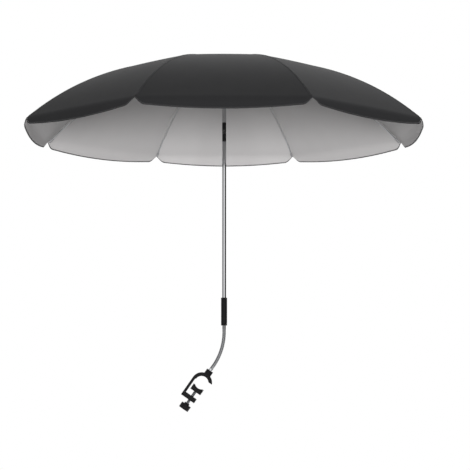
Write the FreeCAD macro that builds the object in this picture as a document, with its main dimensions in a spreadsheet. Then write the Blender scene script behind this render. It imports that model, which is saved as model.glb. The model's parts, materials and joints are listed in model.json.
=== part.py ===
import FreeCAD, Part
import math
import os
import re

from FreeCAD import Placement, Rotation, Vector

# A pram parasol: an eight-rib folding canopy on a slim chrome pole with a tilt
# joint, a socket on a short ribbed gooseneck, and a screw clamp for a pram tube.
# Millimetres. The origin is the centre of the clamped tube, which runs along Y.
# +X is to the right in the photo, +Y away from the viewer and +Z up along the pole.

SIZES = {
    # canopy profile, measured on the outside of the cloth along a rib
    "canopy_radius": 375.0,
    "rib_count": 8,
    "inner_reach": 117.0,
    "rim_run": 19.5,
    "inner_slope": 7.56,
    "outer_slope": 39.3,
    "cloth_thickness": 0.8,
    "seam_gap": 0.3,
    "cloth_eye_radius": 5.4,
    "hem_slope": 68.0,
    "hem_bend_radius": 16.0,
    "hem_centre_reach": 9.6,
    "hem_corner_reach": 6.0,
    "hem_corner_run": 14.0,
    "hem_corner_bulge": 3.0,
    # ribs and what is fixed to them
    "rib_diameter": 2.4,
    "cloth_gap": 1.5,
    "rib_root_reach": 22.0,
    "rib_end_gap": 3.0,
    "rib_eye_radius": 1.8,
    "rib_eye_width": 2.2,
    "clip_reach": 160.0,
    "clip_length": 9.0,
    "clip_wall": 1.0,
    "clip_pivot_drop": 4.6,
    "clip_ear_width": 1.0,
    "clip_ear_radius": 2.2,
    "tip_cap_length": 9.0,
    "tip_cap_wall": 0.8,
    "rivet_diameter": 1.6,
    # stretchers
    "stretcher_diameter": 2.0,
    "stretcher_tab_width": 1.4,
    "stretcher_tab_length": 6.0,
    "stretcher_eye_radius": 2.0,
    "stretcher_end_radius": 1.7,
    "stretcher_foot_length": 5.0,
    "stretcher_hole_diameter": 1.2,
    # crown
    "crown_radius": 12.0,
    "crown_flange": 1.5,
    "crown_barrel_radius": 6.2,
    "crown_barrel_length": 16.0,
    "crown_stem_radius": 4.6,
    "crown_stem_rise": 5.0,
    "crown_web": 1.2,
    "slot_width": 2.8,
    "slot_floor_radius": 6.6,
    "hinge_radius": 9.0,
    "wire_diameter": 1.1,
    "wire_bend": 1.5,
    "wire_groove": 1.5,
    # top cap
    "cap_radius": 11.0,
    "cap_rise": 7.0,
    "cap_socket_depth": 4.2,
    # runner
    "runner_drop": 58.0,
    "runner_head_radius": 12.0,
    "runner_head_length": 7.0,
    "runner_barrel_radius": 6.2,
    "runner_barrel_length": 16.0,
    "runner_ring_radius": 6.5,
    "runner_ring_length": 3.0,
    # spring catch below the runner
    "catch_width": 1.0,
    "catch_length": 11.0,
    "catch_proud": 1.4,
    "catch_depth": 1.2,
    "catch_slot_width": 1.5,
    # pole and tilt joint
    "pole_diameter": 7.4,
    "pole_wall": 0.7,
    "upper_pole_length": 112.8,
    "tilt_length": 35.7,
    "lower_pole_length": 289.6,
    "tilt_plug_length": 12.0,
    "tilt_slot_width": 3.2,
    "tilt_tongue_width": 2.8,
    "tilt_pin_diameter": 2.4,
    "tilt_clearance": 0.3,
    # pole socket on top of the gooseneck
    "socket_diameter": 11.1,
    "socket_length": 51.1,
    "socket_depth": 36.0,
    "collar_height": 3.0,
    "collar_pin_diameter": 5.6,
    "collar_pin_length": 7.0,
    # ribbed gooseneck
    "neck_diameter": 6.4,
    "neck_valley_diameter": 5.2,
    "neck_bore_diameter": 3.4,
    "neck_bend_radius": 108.0,
    "neck_turn": 35.0,
    "neck_top_run": 12.0,
    "neck_foot_run": 6.4,
    "neck_rib_count": 28,
    # ferrule and clamp
    "ferrule_diameter": 7.2,
    "ferrule_exposed": 4.0,
    "ferrule_seat": 8.0,
    "clamp_reach": 27.0,
    "tube_diameter": 25.0,
    "pad_thickness": 1.5,
    "clamp_wall": 5.0,
    "clamp_width": 22.0,
    "clamp_boss_radius": 6.6,
    "clamp_lip_rise": 8.0,
    "clamp_arm_reach": 10.0,
    "clamp_arm_height": 8.0,
    "jaw_half_width": 11.0,
    "jaw_rim_drop": 8.0,
    "jaw_pad_half_width": 9.0,
    "jaw_floor": 6.0,
    "jaw_travel": 10.0,
    "jaw_squeeze": 4.0,
    "screw_diameter": 6.0,
    "screw_tip_depth": 4.0,
    "nut_circumradius": 5.4,
    "nut_height": 5.0,
    "knob_radius": 10.0,
    "knob_height": 10.0,
    "knob_neck_radius": 5.0,
    "knob_neck_height": 3.0,
    "knob_gap": 3.0,
    "knob_flute_count": 6,
    "knob_flute_radius": 3.2,
    # fits
    "press_gap": 0.02,
    "running_gap": 0.05,
    "slide_gap": 0.1,
    "body_gap": 0.3,
    "overrun": 1.0,
}

UP = Vector(0, 0, 1)
ALONG_TUBE = Vector(0, 1, 0)
ACROSS = Vector(1, 0, 0)
ORIGIN = Vector(0, 0, 0)

doc = FreeCAD.newDocument("pram_parasol")
sheet = doc.addObject("Spreadsheet::Sheet", "Sizes")
for row, (alias, value) in enumerate(SIZES.items(), start=1):
    sheet.set(f"A{row}", alias)
    sheet.set(f"B{row}", str(value))
    sheet.setAlias(f"B{row}", alias)
doc.recompute()

pieces = {}


def size(alias):
    """A driving dimension, read from the sheet."""
    return float(sheet.get(alias))


def bind(feature, **expressions):
    """Tie a feature's properties to cells of the sheet."""
    for name, expression in expressions.items():
        words = re.sub(
            r"[a-z][a-z_]*",
            lambda word: f"Sizes.{word.group()}" if word.group() in SIZES else word.group(),
            expression,
        )
        feature.setExpression(name, words)
    return feature


def turned_to(axis):
    """The rotation that stands the Z axis along another direction."""
    return Rotation(UP, axis)


def cylinder(name, radius, height, base=ORIGIN, axis=UP):
    rod = doc.addObject("Part::Cylinder", name)
    bind(rod, Radius=radius, Height=height)
    rod.Placement = Placement(base, turned_to(axis))
    return rod


def box(name, length, width, height, corner):
    block = doc.addObject("Part::Box", name)
    bind(block, Length=length, Width=width, Height=height)
    block.Placement = Placement(corner, Rotation())
    return block


def shaped(name, shape):
    """A sweep, loft or other free form."""
    feature = doc.addObject("Part::Feature", name)
    feature.Shape = shape
    return feature


def fuse(name, *shapes):
    joined = doc.addObject("Part::MultiFuse", name)
    joined.Shapes = list(shapes)
    joined.Refine = True
    return joined


def cut(name, base, *tools):
    removed = doc.addObject("Part::Cut", name)
    removed.Base = base
    removed.Tool = tools[0] if len(tools) == 1 else fuse(name + "_tools", *tools)
    return removed


def common(name, first, second):
    kept = doc.addObject("Part::Common", name)
    kept.Base = first
    kept.Tool = second
    return kept


def piece(node, feature, base=ORIGIN, rotation=Rotation()):
    """Keep a finished feature as one named piece, moved to its place in the parasol."""
    doc.recompute()
    feature.Label = node
    feature.Placement = Placement(base, rotation).multiply(feature.Placement)
    pieces[node] = feature
    return feature


# Places that follow from the sizes

rib_total = int(size("rib_count"))
half_sector = math.pi / rib_total
sector_degrees = math.degrees(2 * half_sector)
first_rib_degrees = math.degrees(half_sector) - 90
rib_azimuths = [first_rib_degrees + sector_degrees * number for number in range(rib_total)]

neck_turn = math.radians(size("neck_turn"))
neck_axis = Vector(math.sin(neck_turn), 0, math.cos(neck_turn))
neck_side = Vector(-math.cos(neck_turn), 0, math.sin(neck_turn))
clamp_turn = Rotation(ALONG_TUBE, size("neck_turn"))

neck_foot = neck_axis * (size("clamp_reach") + size("ferrule_exposed"))
bend_start = neck_foot + neck_axis * size("neck_foot_run")
bend_centre = bend_start + neck_side * size("neck_bend_radius")
bend_end = bend_centre + ACROSS * size("neck_bend_radius")
neck_head = bend_end + UP * size("neck_top_run")

pole_foot = Vector(neck_head.x, 0, 0)
collar_level = neck_head.z
socket_top = collar_level + size("socket_length")
tilt_bottom = socket_top + size("lower_pole_length")
tilt_top = tilt_bottom + size("tilt_length")
tilt_level = (tilt_bottom + tilt_top) / 2
apex = tilt_top + size("upper_pole_length")

flange_top = apex - size("cloth_thickness") - size("body_gap")
flange_bottom = flange_top - size("crown_flange")
hinge_level = flange_bottom - size("rib_eye_radius") - size("body_gap")
notch_bottom = hinge_level - size("rib_eye_radius") - size("crown_web")
runner_level = apex - size("runner_drop")
runner_head_bottom = runner_level - size("runner_head_length") / 2
runner_bottom = runner_head_bottom - size("runner_barrel_length")

rib_radius = size("rib_diameter") / 2
rib_depth = size("cloth_thickness") + size("cloth_gap") + rib_radius
pole_radius = size("pole_diameter") / 2


# Canopy profile: two tangent arcs, a straight run out to the rib tips, and a hem that
# turns down past the line from tip to tip

inner_slope = math.radians(size("inner_slope"))
outer_slope = math.radians(size("outer_slope"))
hem_slope = math.radians(size("hem_slope"))
hem_bend_run = size("hem_bend_radius") * (math.sin(hem_slope) - math.sin(outer_slope))
hem_bend_end = size("canopy_radius") + hem_bend_run
inner_radius = size("inner_reach") / math.sin(inner_slope)
outer_reach = size("canopy_radius") - size("rim_run")
outer_run = outer_reach - size("inner_reach")
outer_radius = outer_run / (math.sin(outer_slope) - math.sin(inner_slope))
inner_centre = Vector(0, 0, apex - inner_radius)
arc_join = Vector(math.sin(inner_slope), 0, math.cos(inner_slope))
outer_centre = inner_centre + arc_join * (inner_radius - outer_radius)


def profile_slope(reach):
    """How steeply the cloth falls at a distance from the pole."""
    if reach <= size("inner_reach"):
        return math.asin(reach / inner_radius)
    if reach <= outer_reach:
        return math.asin((reach - outer_centre.x) / outer_radius)
    if reach <= size("canopy_radius"):
        return outer_slope
    if reach >= hem_bend_end:
        return hem_slope
    return math.asin(math.sin(outer_slope) + (reach - size("canopy_radius")) / size("hem_bend_radius"))


def profile_point(reach, depth):
    """A point below the cloth's outside, square to it, in the plane of a rib."""
    slope = profile_slope(reach)
    outward = Vector(math.sin(slope), 0, math.cos(slope))
    downhill = Vector(math.cos(slope), 0, -math.sin(slope))
    if reach <= size("inner_reach"):
        return inner_centre + outward * (inner_radius - depth)
    if reach <= size("canopy_radius"):
        past_bend = max(reach - outer_reach, 0) / math.cos(slope)
        return outer_centre + outward * (outer_radius - depth) + downhill * past_bend
    rim_outward = Vector(math.sin(outer_slope), 0, math.cos(outer_slope))
    hem_centre = profile_point(size("canopy_radius"), 0) - rim_outward * size("hem_bend_radius")
    past_hem_bend = max(reach - hem_bend_end, 0) / math.cos(slope)
    return hem_centre + outward * (size("hem_bend_radius") - depth) + downhill * past_hem_bend


def arc_through(first, middle, last):
    return Part.Arc(first, middle, last).toShape()


def line_to(first, last):
    return Part.LineSegment(first, last).toShape()


def profile_edges(depth, start, end):
    """The canopy profile from one reach to another, at one depth."""
    edges = []
    for low, high in ((start, size("inner_reach")), (size("inner_reach"), outer_reach)):
        ends = profile_point(low, depth), profile_point(high, depth)
        edges.append(arc_through(ends[0], profile_point((low + high) / 2, depth), ends[1]))
    rim = min(end, size("canopy_radius"))
    edges.append(line_to(profile_point(outer_reach, depth), profile_point(rim, depth)))
    if end > rim:
        bend = [profile_point(rim + hem_bend_run * share, depth) for share in (0, 0.5, 1)]
        edges.append(arc_through(*bend))
        edges.append(line_to(bend[-1], profile_point(end, depth)))
    return edges


def plate(points, width):
    """A flat plate with the given outline in a rib's plane, centred on that plane."""
    outline = Part.makePolygon(points + points[:1])
    half = ALONG_TUBE * (width / 2)
    return Part.Face(outline).translated(-half).extrude(half * 2)


def cross_pin(centre, radius, width):
    """A round pin or hole square to a rib's plane."""
    return Part.makeCylinder(radius, width, centre - ALONG_TUBE * (width / 2), ALONG_TUBE)


def rod_between(first, last, radius):
    along = last - first
    return Part.makeCylinder(radius, along.Length, first, along)


# Canopy cloth, one panel between each two ribs


def cloth_band():
    """Closed outline of the cloth's thickness in a rib's plane."""
    start = size("cloth_eye_radius") / 2
    end = size("canopy_radius") + (size("hem_centre_reach") + size("overrun")) / math.cos(half_sector)
    thickness = size("cloth_thickness")
    outside = profile_edges(0, start, end)
    inside = profile_edges(thickness, start, end)
    ends = [line_to(profile_point(at, 0), profile_point(at, thickness)) for at in (start, end)]
    return Part.Wire(Part.__sortEdges__(outside + inside + ends))


def hem_outline():
    """The panel's edge seen from above: a notch at each rib and a full hem between."""
    chord = size("canopy_radius") * math.cos(half_sector)
    half_chord = size("canopy_radius") * math.sin(half_sector)
    eye = size("cloth_eye_radius")
    corner = Vector(chord + size("hem_corner_reach"), half_chord - size("hem_corner_run"), 0)
    notch = Vector(chord, half_chord, 0)
    middle = (corner + notch) / 2
    along = corner - notch
    outward = Vector(-along.y, along.x, 0).normalize()
    bulge = middle + outward * size("hem_corner_bulge")
    eye_corner = Vector(eye * math.cos(half_sector), eye * math.sin(half_sector), 0)

    def mirrored(point):
        return Vector(point.x, -point.y, 0)

    return Part.Wire([
        line_to(eye_corner, notch),
        arc_through(notch, bulge, corner),
        arc_through(corner, Vector(chord + size("hem_centre_reach"), 0, 0), mirrored(corner)),
        arc_through(mirrored(corner), mirrored(bulge), mirrored(notch)),
        line_to(mirrored(notch), mirrored(eye_corner)),
        arc_through(mirrored(eye_corner), Vector(eye, 0, 0), eye_corner),
    ])


def cloth_panel():
    edge_degrees = sector_degrees / 2
    sides = []
    for sign in (-1, 1):
        side = cloth_band()
        side.rotate(ORIGIN, UP, sign * edge_degrees)
        inward = Vector(math.sin(half_sector), -sign * math.cos(half_sector), 0)
        side.translate(inward * (size("seam_gap") / 2))
        sides.append(side)
    sheet_of_cloth = Part.makeLoft(sides, True, True)
    depth = size("canopy_radius")
    cutter = Part.Face(hem_outline()).translated(UP * (apex - depth)).extrude(UP * (2 * depth))
    return sheet_of_cloth.common(cutter).Solids[0]


# Ribs with their fittings, and the stretchers that prop them

hinge_point = Vector(size("hinge_radius"), 0, hinge_level)
clip_slope = profile_slope(size("clip_reach"))
clip_along = Vector(math.cos(clip_slope), 0, -math.sin(clip_slope))
clip_centre = profile_point(size("clip_reach"), rib_depth)
clip_pivot = profile_point(size("clip_reach"), rib_depth + size("clip_pivot_drop"))
runner_pivot = Vector(size("hinge_radius"), 0, runner_level)
rib_end_reach = size("canopy_radius") - size("rib_end_gap")
rib_end = profile_point(rib_end_reach, rib_depth)
rim_along = Vector(math.cos(outer_slope), 0, -math.sin(outer_slope))


def rib():
    """A round spring-steel rod with a flattened eye at the crown."""
    root = profile_point(size("rib_root_reach"), rib_depth)
    path = Part.Wire(profile_edges(rib_depth, size("rib_root_reach"), rib_end_reach))
    root_slope = profile_slope(size("rib_root_reach"))
    along = Vector(math.cos(root_slope), 0, -math.sin(root_slope))
    section = Part.Wire(Part.Circle(root, along, rib_radius).toShape())
    rod = path.makePipeShell([section], True, True)
    eye = size("rib_eye_radius")
    shoulder = Vector(size("crown_radius") + size("body_gap"), 0, hinge_level + eye - size("body_gap"))
    tab = plate(
        [
            hinge_point + UP * (eye - size("body_gap")),
            shoulder,
            root + along * eye + UP * (rib_radius - size("body_gap")),
            root + along * eye - UP * (rib_radius - size("body_gap")),
            hinge_point - UP * (eye - size("body_gap")),
        ],
        size("rib_eye_width"),
    )
    barrel = cross_pin(hinge_point, eye, size("rib_eye_width"))
    hole = cross_pin(
        hinge_point, size("wire_diameter") / 2 + size("running_gap"), size("rib_eye_width") + size("overrun")
    )
    return rod.fuse([tab, barrel]).cut(hole).removeSplitter()


def rib_clip():
    """A sleeve pressed on the rib, with two ears for the stretcher's rivet."""
    half_run = clip_along * (size("clip_length") / 2)
    sleeve = rod_between(clip_centre - half_run, clip_centre + half_run, rib_radius + size("clip_wall"))
    inside = size("stretcher_tab_width") + 2 * size("body_gap")
    width = inside + 2 * size("clip_ear_width")
    ear_side = clip_along * size("clip_ear_radius")
    ears = plate(
        [clip_centre - ear_side, clip_centre + ear_side, clip_pivot + ear_side, clip_pivot - ear_side], width
    ).fuse(cross_pin(clip_pivot, size("clip_ear_radius"), width))
    down = (clip_pivot - clip_centre).normalize()
    slot_top = clip_centre + down * (rib_radius + size("clip_wall"))
    slot_side = clip_along * (size("clip_ear_radius") + size("overrun"))
    slot_bottom = clip_pivot + down * (size("clip_ear_radius") + size("overrun"))
    slot = plate(
        [slot_top - slot_side, slot_top + slot_side, slot_bottom + slot_side, slot_bottom - slot_side],
        inside,
    )
    rib_hole = rod_between(
        clip_centre - half_run * 2, clip_centre + half_run * 2, rib_radius + size("press_gap")
    )
    rivet_hole = cross_pin(
        clip_pivot, size("rivet_diameter") / 2 + size("press_gap"), width + size("overrun")
    )
    return sleeve.fuse(ears.cut(slot)).cut(rib_hole.fuse(rivet_hole)).removeSplitter()


def rib_rivet():
    width = size("stretcher_tab_width") + 2 * size("body_gap") + 2 * size("clip_ear_width")
    return cross_pin(clip_pivot, size("rivet_diameter") / 2, width)


def rib_tip():
    """A round-nosed cap pushed on the end of the rib."""
    radius = rib_radius + size("tip_cap_wall")
    nose = rib_end + rim_along * size("tip_cap_wall")
    body = rod_between(nose - rim_along * size("tip_cap_length"), nose, radius)
    ball = Part.makeSphere(radius, nose)
    hole = rod_between(
        rib_end - rim_along * (2 * size("tip_cap_length")), rib_end, rib_radius + size("press_gap")
    )
    return body.fuse(ball).cut(hole).removeSplitter()


def stretcher():
    """A straight rod with a flat tab at the rib and a flat eye in the runner's slot."""
    along = (runner_pivot - clip_pivot).normalize()
    across = Vector(along.z, 0, -along.x)
    eye = size("stretcher_eye_radius")
    end = size("stretcher_end_radius")
    radius = size("stretcher_diameter") / 2
    tab_end = clip_pivot + along * size("stretcher_tab_length")
    tab = plate(
        [clip_pivot + across * radius, tab_end + across * radius, tab_end - across * radius,
         clip_pivot - across * radius],
        size("stretcher_tab_width"),
    ).fuse(cross_pin(clip_pivot, eye, size("stretcher_tab_width")))
    foot_start = runner_pivot - along * size("stretcher_foot_length")
    foot = plate(
        [foot_start + across * radius, runner_pivot + across * radius, runner_pivot - across * radius,
         foot_start - across * radius],
        size("rib_eye_width"),
    ).fuse(cross_pin(runner_pivot, end, size("rib_eye_width")))
    rod = rod_between(tab_end - along * eye, foot_start + along * end, radius)
    rivet_hole = cross_pin(clip_pivot, size("rivet_diameter") / 2 + size("running_gap"), 2 * eye)
    foot_hole = cross_pin(runner_pivot, size("stretcher_hole_diameter") / 2, 2 * eye)
    return rod.fuse([tab, foot]).cut(rivet_hole.fuse(foot_hole)).removeSplitter()


panel_shape = cloth_panel()
rib_shape = rib()
fittings_shape = Part.makeCompound([rib_clip(), rib_rivet(), rib_tip()])
stretcher_shape = stretcher()
for number, azimuth in enumerate(rib_azimuths, start=1):
    turn = Rotation(UP, azimuth)
    piece(f"rib_{number}", shaped(f"Rib{number}", rib_shape), pole_foot, turn)
    piece(f"rib_fittings_{number}", shaped(f"RibFittings{number}", fittings_shape), pole_foot, turn)
    piece(f"stretcher_{number}", shaped(f"Stretcher{number}", stretcher_shape), pole_foot, turn)
    panel_turn = Rotation(UP, azimuth + sector_degrees / 2)
    piece(f"canopy_panel_{number}", shaped(f"CanopyPanel{number}", panel_shape), pole_foot, panel_turn)


# Crown at the top of the pole, with the wire that the ribs hang on, and the cap


def slot_boxes(name, height, bottom):
    """One radial slot for each rib or stretcher."""
    boxes = []
    for number, azimuth in enumerate(rib_azimuths, start=1):
        turn = Rotation(UP, azimuth)
        slot = box(f"{name}{number}", "crown_radius", "slot_width", height, ORIGIN)
        corner = Vector(size("slot_floor_radius"), -size("slot_width") / 2, bottom)
        slot.Placement = Placement(turn.multVec(corner), turn)
        boxes.append(slot)
    return boxes


def crown_wire():
    """An octagon of wire whose straight sides are the hinges of the ribs."""
    radius = size("hinge_radius")
    bend = size("wire_bend")
    half_side = (radius - bend) * math.tan(half_sector)
    corner_radius = (radius - bend) / math.cos(half_sector) + bend
    edges = []
    for azimuth in rib_azimuths:
        turn = Rotation(UP, azimuth)
        corner_turn = Rotation(UP, azimuth + sector_degrees / 2)
        next_turn = Rotation(UP, azimuth + sector_degrees)
        start = turn.multVec(Vector(radius, -half_side, hinge_level))
        end = turn.multVec(Vector(radius, half_side, hinge_level))
        corner = corner_turn.multVec(Vector(corner_radius, 0, hinge_level))
        edges.append(line_to(start, end))
        edges.append(arc_through(end, corner, next_turn.multVec(Vector(radius, -half_side, hinge_level))))
    path = Part.Wire(edges)
    first = edges[0].Vertexes[0].Point
    along = edges[0].Vertexes[1].Point - first
    section = Part.Wire(Part.Circle(first, along, size("wire_diameter") / 2).toShape())
    return path.makePipeShell([section], True, True)


crown_body = fuse(
    "CrownBody",
    cylinder("CrownFlange", "crown_radius", "crown_flange", UP * flange_bottom),
    cylinder(
        "CrownNotchRing", "crown_radius", "2 * rib_eye_radius + body_gap + crown_web", UP * notch_bottom
    ),
    cylinder(
        "CrownBarrel", "crown_barrel_radius", "crown_barrel_length",
        UP * (flange_bottom - size("crown_barrel_length")),
    ),
    cylinder("CrownStem", "crown_stem_radius", "crown_stem_rise", UP * flange_top),
)
wire_groove = cut(
    "CrownWireGroove",
    cylinder(
        "CrownGrooveRim", "crown_radius + overrun", "wire_groove",
        UP * (hinge_level - size("wire_groove") / 2),
    ),
    cylinder(
        "CrownGrooveCore", "hinge_radius - wire_diameter / 2 - slide_gap", "wire_groove",
        UP * (hinge_level - size("wire_groove") / 2),
    ),
)
crown_bore = cylinder(
    "CrownBore", "pole_diameter / 2 + press_gap", "crown_barrel_length + overrun",
    UP * (flange_bottom - size("crown_barrel_length") - size("overrun")),
)
crown_slots = slot_boxes(
    "CrownSlot", "2 * rib_eye_radius + body_gap + crown_web + overrun", notch_bottom - size("overrun")
)
piece("crown", cut("Crown", crown_body, wire_groove, crown_bore, *crown_slots), pole_foot)
piece("crown_wire", shaped("CrownWire", crown_wire()), pole_foot)

cap_dome = doc.addObject("Part::Ellipsoid", "CapDome")
bind(cap_dome, Radius1="cap_rise", Radius2="cap_radius", Radius3="cap_radius", Angle1="0", Angle2="90")
cap_dome.Placement.Base = UP * (apex + size("body_gap"))
cap_socket = cylinder(
    "CapSocket", "crown_stem_radius + press_gap", "cap_socket_depth + overrun",
    UP * (apex + size("body_gap") - size("overrun")),
)
piece("top_cap", cut("TopCap", cap_dome, cap_socket), pole_foot)


# Runner that slides on the pole and carries the stretchers' lower ends

runner_body = fuse(
    "RunnerBody",
    cylinder("RunnerHead", "runner_head_radius", "runner_head_length", UP * runner_head_bottom),
    cylinder("RunnerBarrel", "runner_barrel_radius", "runner_barrel_length", UP * runner_bottom),
    cylinder("RunnerRing", "runner_ring_radius", "runner_ring_length", UP * runner_bottom),
)
runner_bore = cylinder(
    "RunnerBore", "pole_diameter / 2 + slide_gap",
    "runner_head_length + runner_barrel_length + 2 * overrun", UP * (runner_bottom - size("overrun")),
)
runner_slots = slot_boxes(
    "RunnerSlot", "runner_head_length + 2 * overrun", runner_head_bottom - size("overrun")
)
piece("runner", cut("Runner", runner_body, runner_bore, *runner_slots), pole_foot)


# Upper pole, with the sprung catch that holds the runner up

catch_top = runner_bottom - size("body_gap")
catch_bottom = catch_top - size("catch_length")
catch_reach = pole_radius + size("catch_proud")
catch_blade = plate(
    [
        Vector(-size("catch_depth"), 0, catch_top),
        Vector(catch_reach, 0, catch_top),
        Vector(catch_reach, 0, catch_top - size("catch_proud")),
        Vector(pole_radius - size("pole_wall"), 0, catch_bottom),
        Vector(-size("catch_depth"), 0, catch_bottom),
    ],
    size("catch_width"),
)
back = Rotation(UP, ALONG_TUBE.getAngle(ACROSS) * 180 / math.pi)
piece("runner_catch", shaped("RunnerCatch", catch_blade), pole_foot, back)


def pole_tube(name, length, bottom, *tools):
    tube = cylinder(name + "Outside", "pole_diameter / 2", length, UP * bottom)
    bore = cylinder(name + "Bore", "pole_diameter / 2 - pole_wall", length, UP * bottom)
    return cut(name, tube, bore, *tools)


catch_slot = box(
    "CatchSlot", "catch_slot_width", "pole_diameter", "catch_length + 2 * body_gap",
    Vector(-size("catch_slot_width") / 2, 0, catch_bottom - size("body_gap")),
)
upper_pole = pole_tube(
    "UpperPole",
    "upper_pole_length - cloth_thickness - body_gap - crown_flange",
    tilt_top,
    catch_slot,
)
piece("upper_pole", upper_pole, pole_foot)


# Tilt joint: a fork on the upper pole, a tongue on the lower pole and a cross pin

tilt_plug = "pole_diameter / 2 - pole_wall - press_gap"
fork_nose = common(
    "ForkNose",
    cylinder("ForkNoseRound", "pole_diameter / 2", "pole_diameter / 2", UP * (tilt_level - pole_radius)),
    cylinder(
        "ForkNoseCurve", "pole_diameter / 2", "pole_diameter",
        Vector(-pole_radius, 0, tilt_level), ACROSS,
    ),
)
fork_body = fuse(
    "ForkBody",
    cylinder("ForkRound", "pole_diameter / 2", "tilt_length / 2", UP * tilt_level),
    fork_nose,
    cylinder("ForkPlug", tilt_plug, "tilt_plug_length", UP * tilt_top),
)
fork_slot = box(
    "ForkSlot", "tilt_slot_width", "pole_diameter + 2 * overrun",
    "pole_diameter + tilt_clearance + overrun",
    Vector(
        -size("tilt_slot_width") / 2, -pole_radius - size("overrun"),
        tilt_level - pole_radius - size("overrun"),
    ),
)


def tilt_hole(name, gap):
    return cylinder(
        name, f"tilt_pin_diameter / 2 + {gap}", "pole_diameter",
        Vector(-pole_radius, 0, tilt_level), ACROSS,
    )


piece("tilt_fork", cut("TiltFork", fork_body, fork_slot, tilt_hole("ForkHole", "press_gap")), pole_foot)

tongue_shoulder = tilt_level - pole_radius - size("tilt_clearance")
tongue_body = fuse(
    "TongueBody",
    cylinder(
        "TongueRound", "pole_diameter / 2", "tilt_length / 2 - pole_diameter / 2 - tilt_clearance",
        UP * tilt_bottom,
    ),
    cylinder("TonguePlug", tilt_plug, "tilt_plug_length", UP * (tilt_bottom - size("tilt_plug_length"))),
    box(
        "TongueBlade", "tilt_tongue_width", "pole_diameter - 2 * tilt_clearance",
        "pole_diameter / 2 + tilt_clearance",
        Vector(
            -size("tilt_tongue_width") / 2, -pole_radius + size("tilt_clearance"), tongue_shoulder
        ),
    ),
    cylinder(
        "TongueNose", "pole_diameter / 2 - tilt_clearance", "tilt_tongue_width",
        Vector(-size("tilt_tongue_width") / 2, 0, tilt_level), ACROSS,
    ),
)
piece("tilt_tongue", cut("TiltTongue", tongue_body, tilt_hole("TongueHole", "running_gap")), pole_foot)
tilt_pin = cylinder(
    "TiltPin", "tilt_pin_diameter / 2", "pole_diameter - 2 * tilt_clearance",
    Vector(size("tilt_clearance") - pole_radius, 0, tilt_level), ACROSS,
)
piece("tilt_pin", tilt_pin, pole_foot)


# Lower pole, standing in the socket that turns on the gooseneck's collar

pole_seat = socket_top - size("socket_depth")
piece(
    "lower_pole", pole_tube("LowerPole", "lower_pole_length + socket_depth", pole_seat), pole_foot
)

socket_bottom = collar_level + size("collar_height") + size("slide_gap")
socket_body = cylinder(
    "SocketBody", "socket_diameter / 2", "socket_length - collar_height - slide_gap", UP * socket_bottom
)
socket_bore = cylinder(
    "SocketBore", "pole_diameter / 2 + running_gap", "socket_depth + overrun", UP * pole_seat
)
socket_swivel = cylinder(
    "SocketSwivel", "collar_pin_diameter / 2 + running_gap", "collar_pin_length + body_gap + overrun",
    UP * (socket_bottom - size("overrun")),
)
piece("pole_socket", cut("PoleSocket", socket_body, socket_bore, socket_swivel), pole_foot)
collar = fuse(
    "GooseneckCollar",
    cylinder("CollarRing", "socket_diameter / 2", "collar_height", UP * collar_level),
    cylinder(
        "CollarPin", "collar_pin_diameter / 2", "collar_height + collar_pin_length", UP * collar_level
    ),
)
piece("gooseneck_collar", collar, pole_foot)


# Gooseneck: a ribbed metal hose, straight at both ends and bent between them

bend_run = size("neck_bend_radius") * neck_turn
neck_run = size("neck_foot_run") + bend_run + size("neck_top_run")


def neck_place(run):
    """A point on the hose's centre line, and the hose's direction there."""
    if run <= size("neck_foot_run"):
        return neck_foot + neck_axis * run, neck_axis
    if run >= size("neck_foot_run") + bend_run:
        return neck_head - UP * (neck_run - run), UP
    lean = neck_turn - (run - size("neck_foot_run")) / size("neck_bend_radius")
    from_centre = Vector(math.cos(lean), 0, -math.sin(lean))
    return bend_centre + from_centre * size("neck_bend_radius"), Vector(math.sin(lean), 0, math.cos(lean))


def neck_ring(run, diameter):
    centre, along = neck_place(run)
    ring = Part.Circle(centre, along, diameter / 2)
    ring.XAxis = ALONG_TUBE
    return Part.Wire(ring.toShape())


def neck_bore(start, end):
    """The hollow inside a stretch of the hose."""
    corners = [size("neck_foot_run"), size("neck_foot_run") + bend_run]
    stops = [start] + [corner for corner in corners if start < corner < end] + [end]
    edges = []
    for low, high in zip(stops, stops[1:]):
        first, middle, last = (neck_place(run)[0] for run in (low, (low + high) / 2, high))
        straight = low >= corners[1] or high <= corners[0]
        edges.append(line_to(first, last) if straight else arc_through(first, middle, last))
    section = neck_ring(start, size("neck_bore_diameter"))
    return Part.Wire(edges).makePipeShell([section], True, True)


def gooseneck_half(start, end, plain_start, plain_end):
    """A stretch of hose: a plain end, then ribs of four rings each."""
    crest, valley = size("neck_diameter"), size("neck_valley_diameter")
    ribs = int(size("neck_rib_count") / 2)
    ribbed_start = size("neck_diameter") if plain_start else start
    ribbed_end = end - size("neck_diameter") if plain_end else end
    pitch = (ribbed_end - ribbed_start) / ribs
    rings = [neck_ring(start, crest), neck_ring(ribbed_start - pitch / 4, crest)] if plain_start else []
    for number in range(ribs):
        foot_run = ribbed_start + number * pitch
        stations = ((0, valley), (1, crest), (2, crest), (3, valley))
        rings += [neck_ring(foot_run + quarter * pitch / 4, diameter) for quarter, diameter in stations]
    if plain_end:
        rings += [neck_ring(ribbed_end, crest), neck_ring(end, crest)]
    else:
        rings.append(neck_ring(end, valley))
    outside = Part.makeLoft(rings, True, True)
    return outside.cut(neck_bore(start, end))


neck_middle = neck_run / 2
lower_half = gooseneck_half(0, neck_middle, True, False)
upper_half = gooseneck_half(neck_middle, neck_run, False, True)
piece("gooseneck_lower", shaped("GooseneckLower", lower_half))
piece("gooseneck_upper", shaped("GooseneckUpper", upper_half))
ferrule = cylinder(
    "GooseneckFerrule", "ferrule_diameter / 2", "ferrule_seat + ferrule_exposed",
    UP * (size("clamp_reach") - size("ferrule_seat")),
)
piece("gooseneck_ferrule", ferrule, ORIGIN, clamp_turn)


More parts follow.
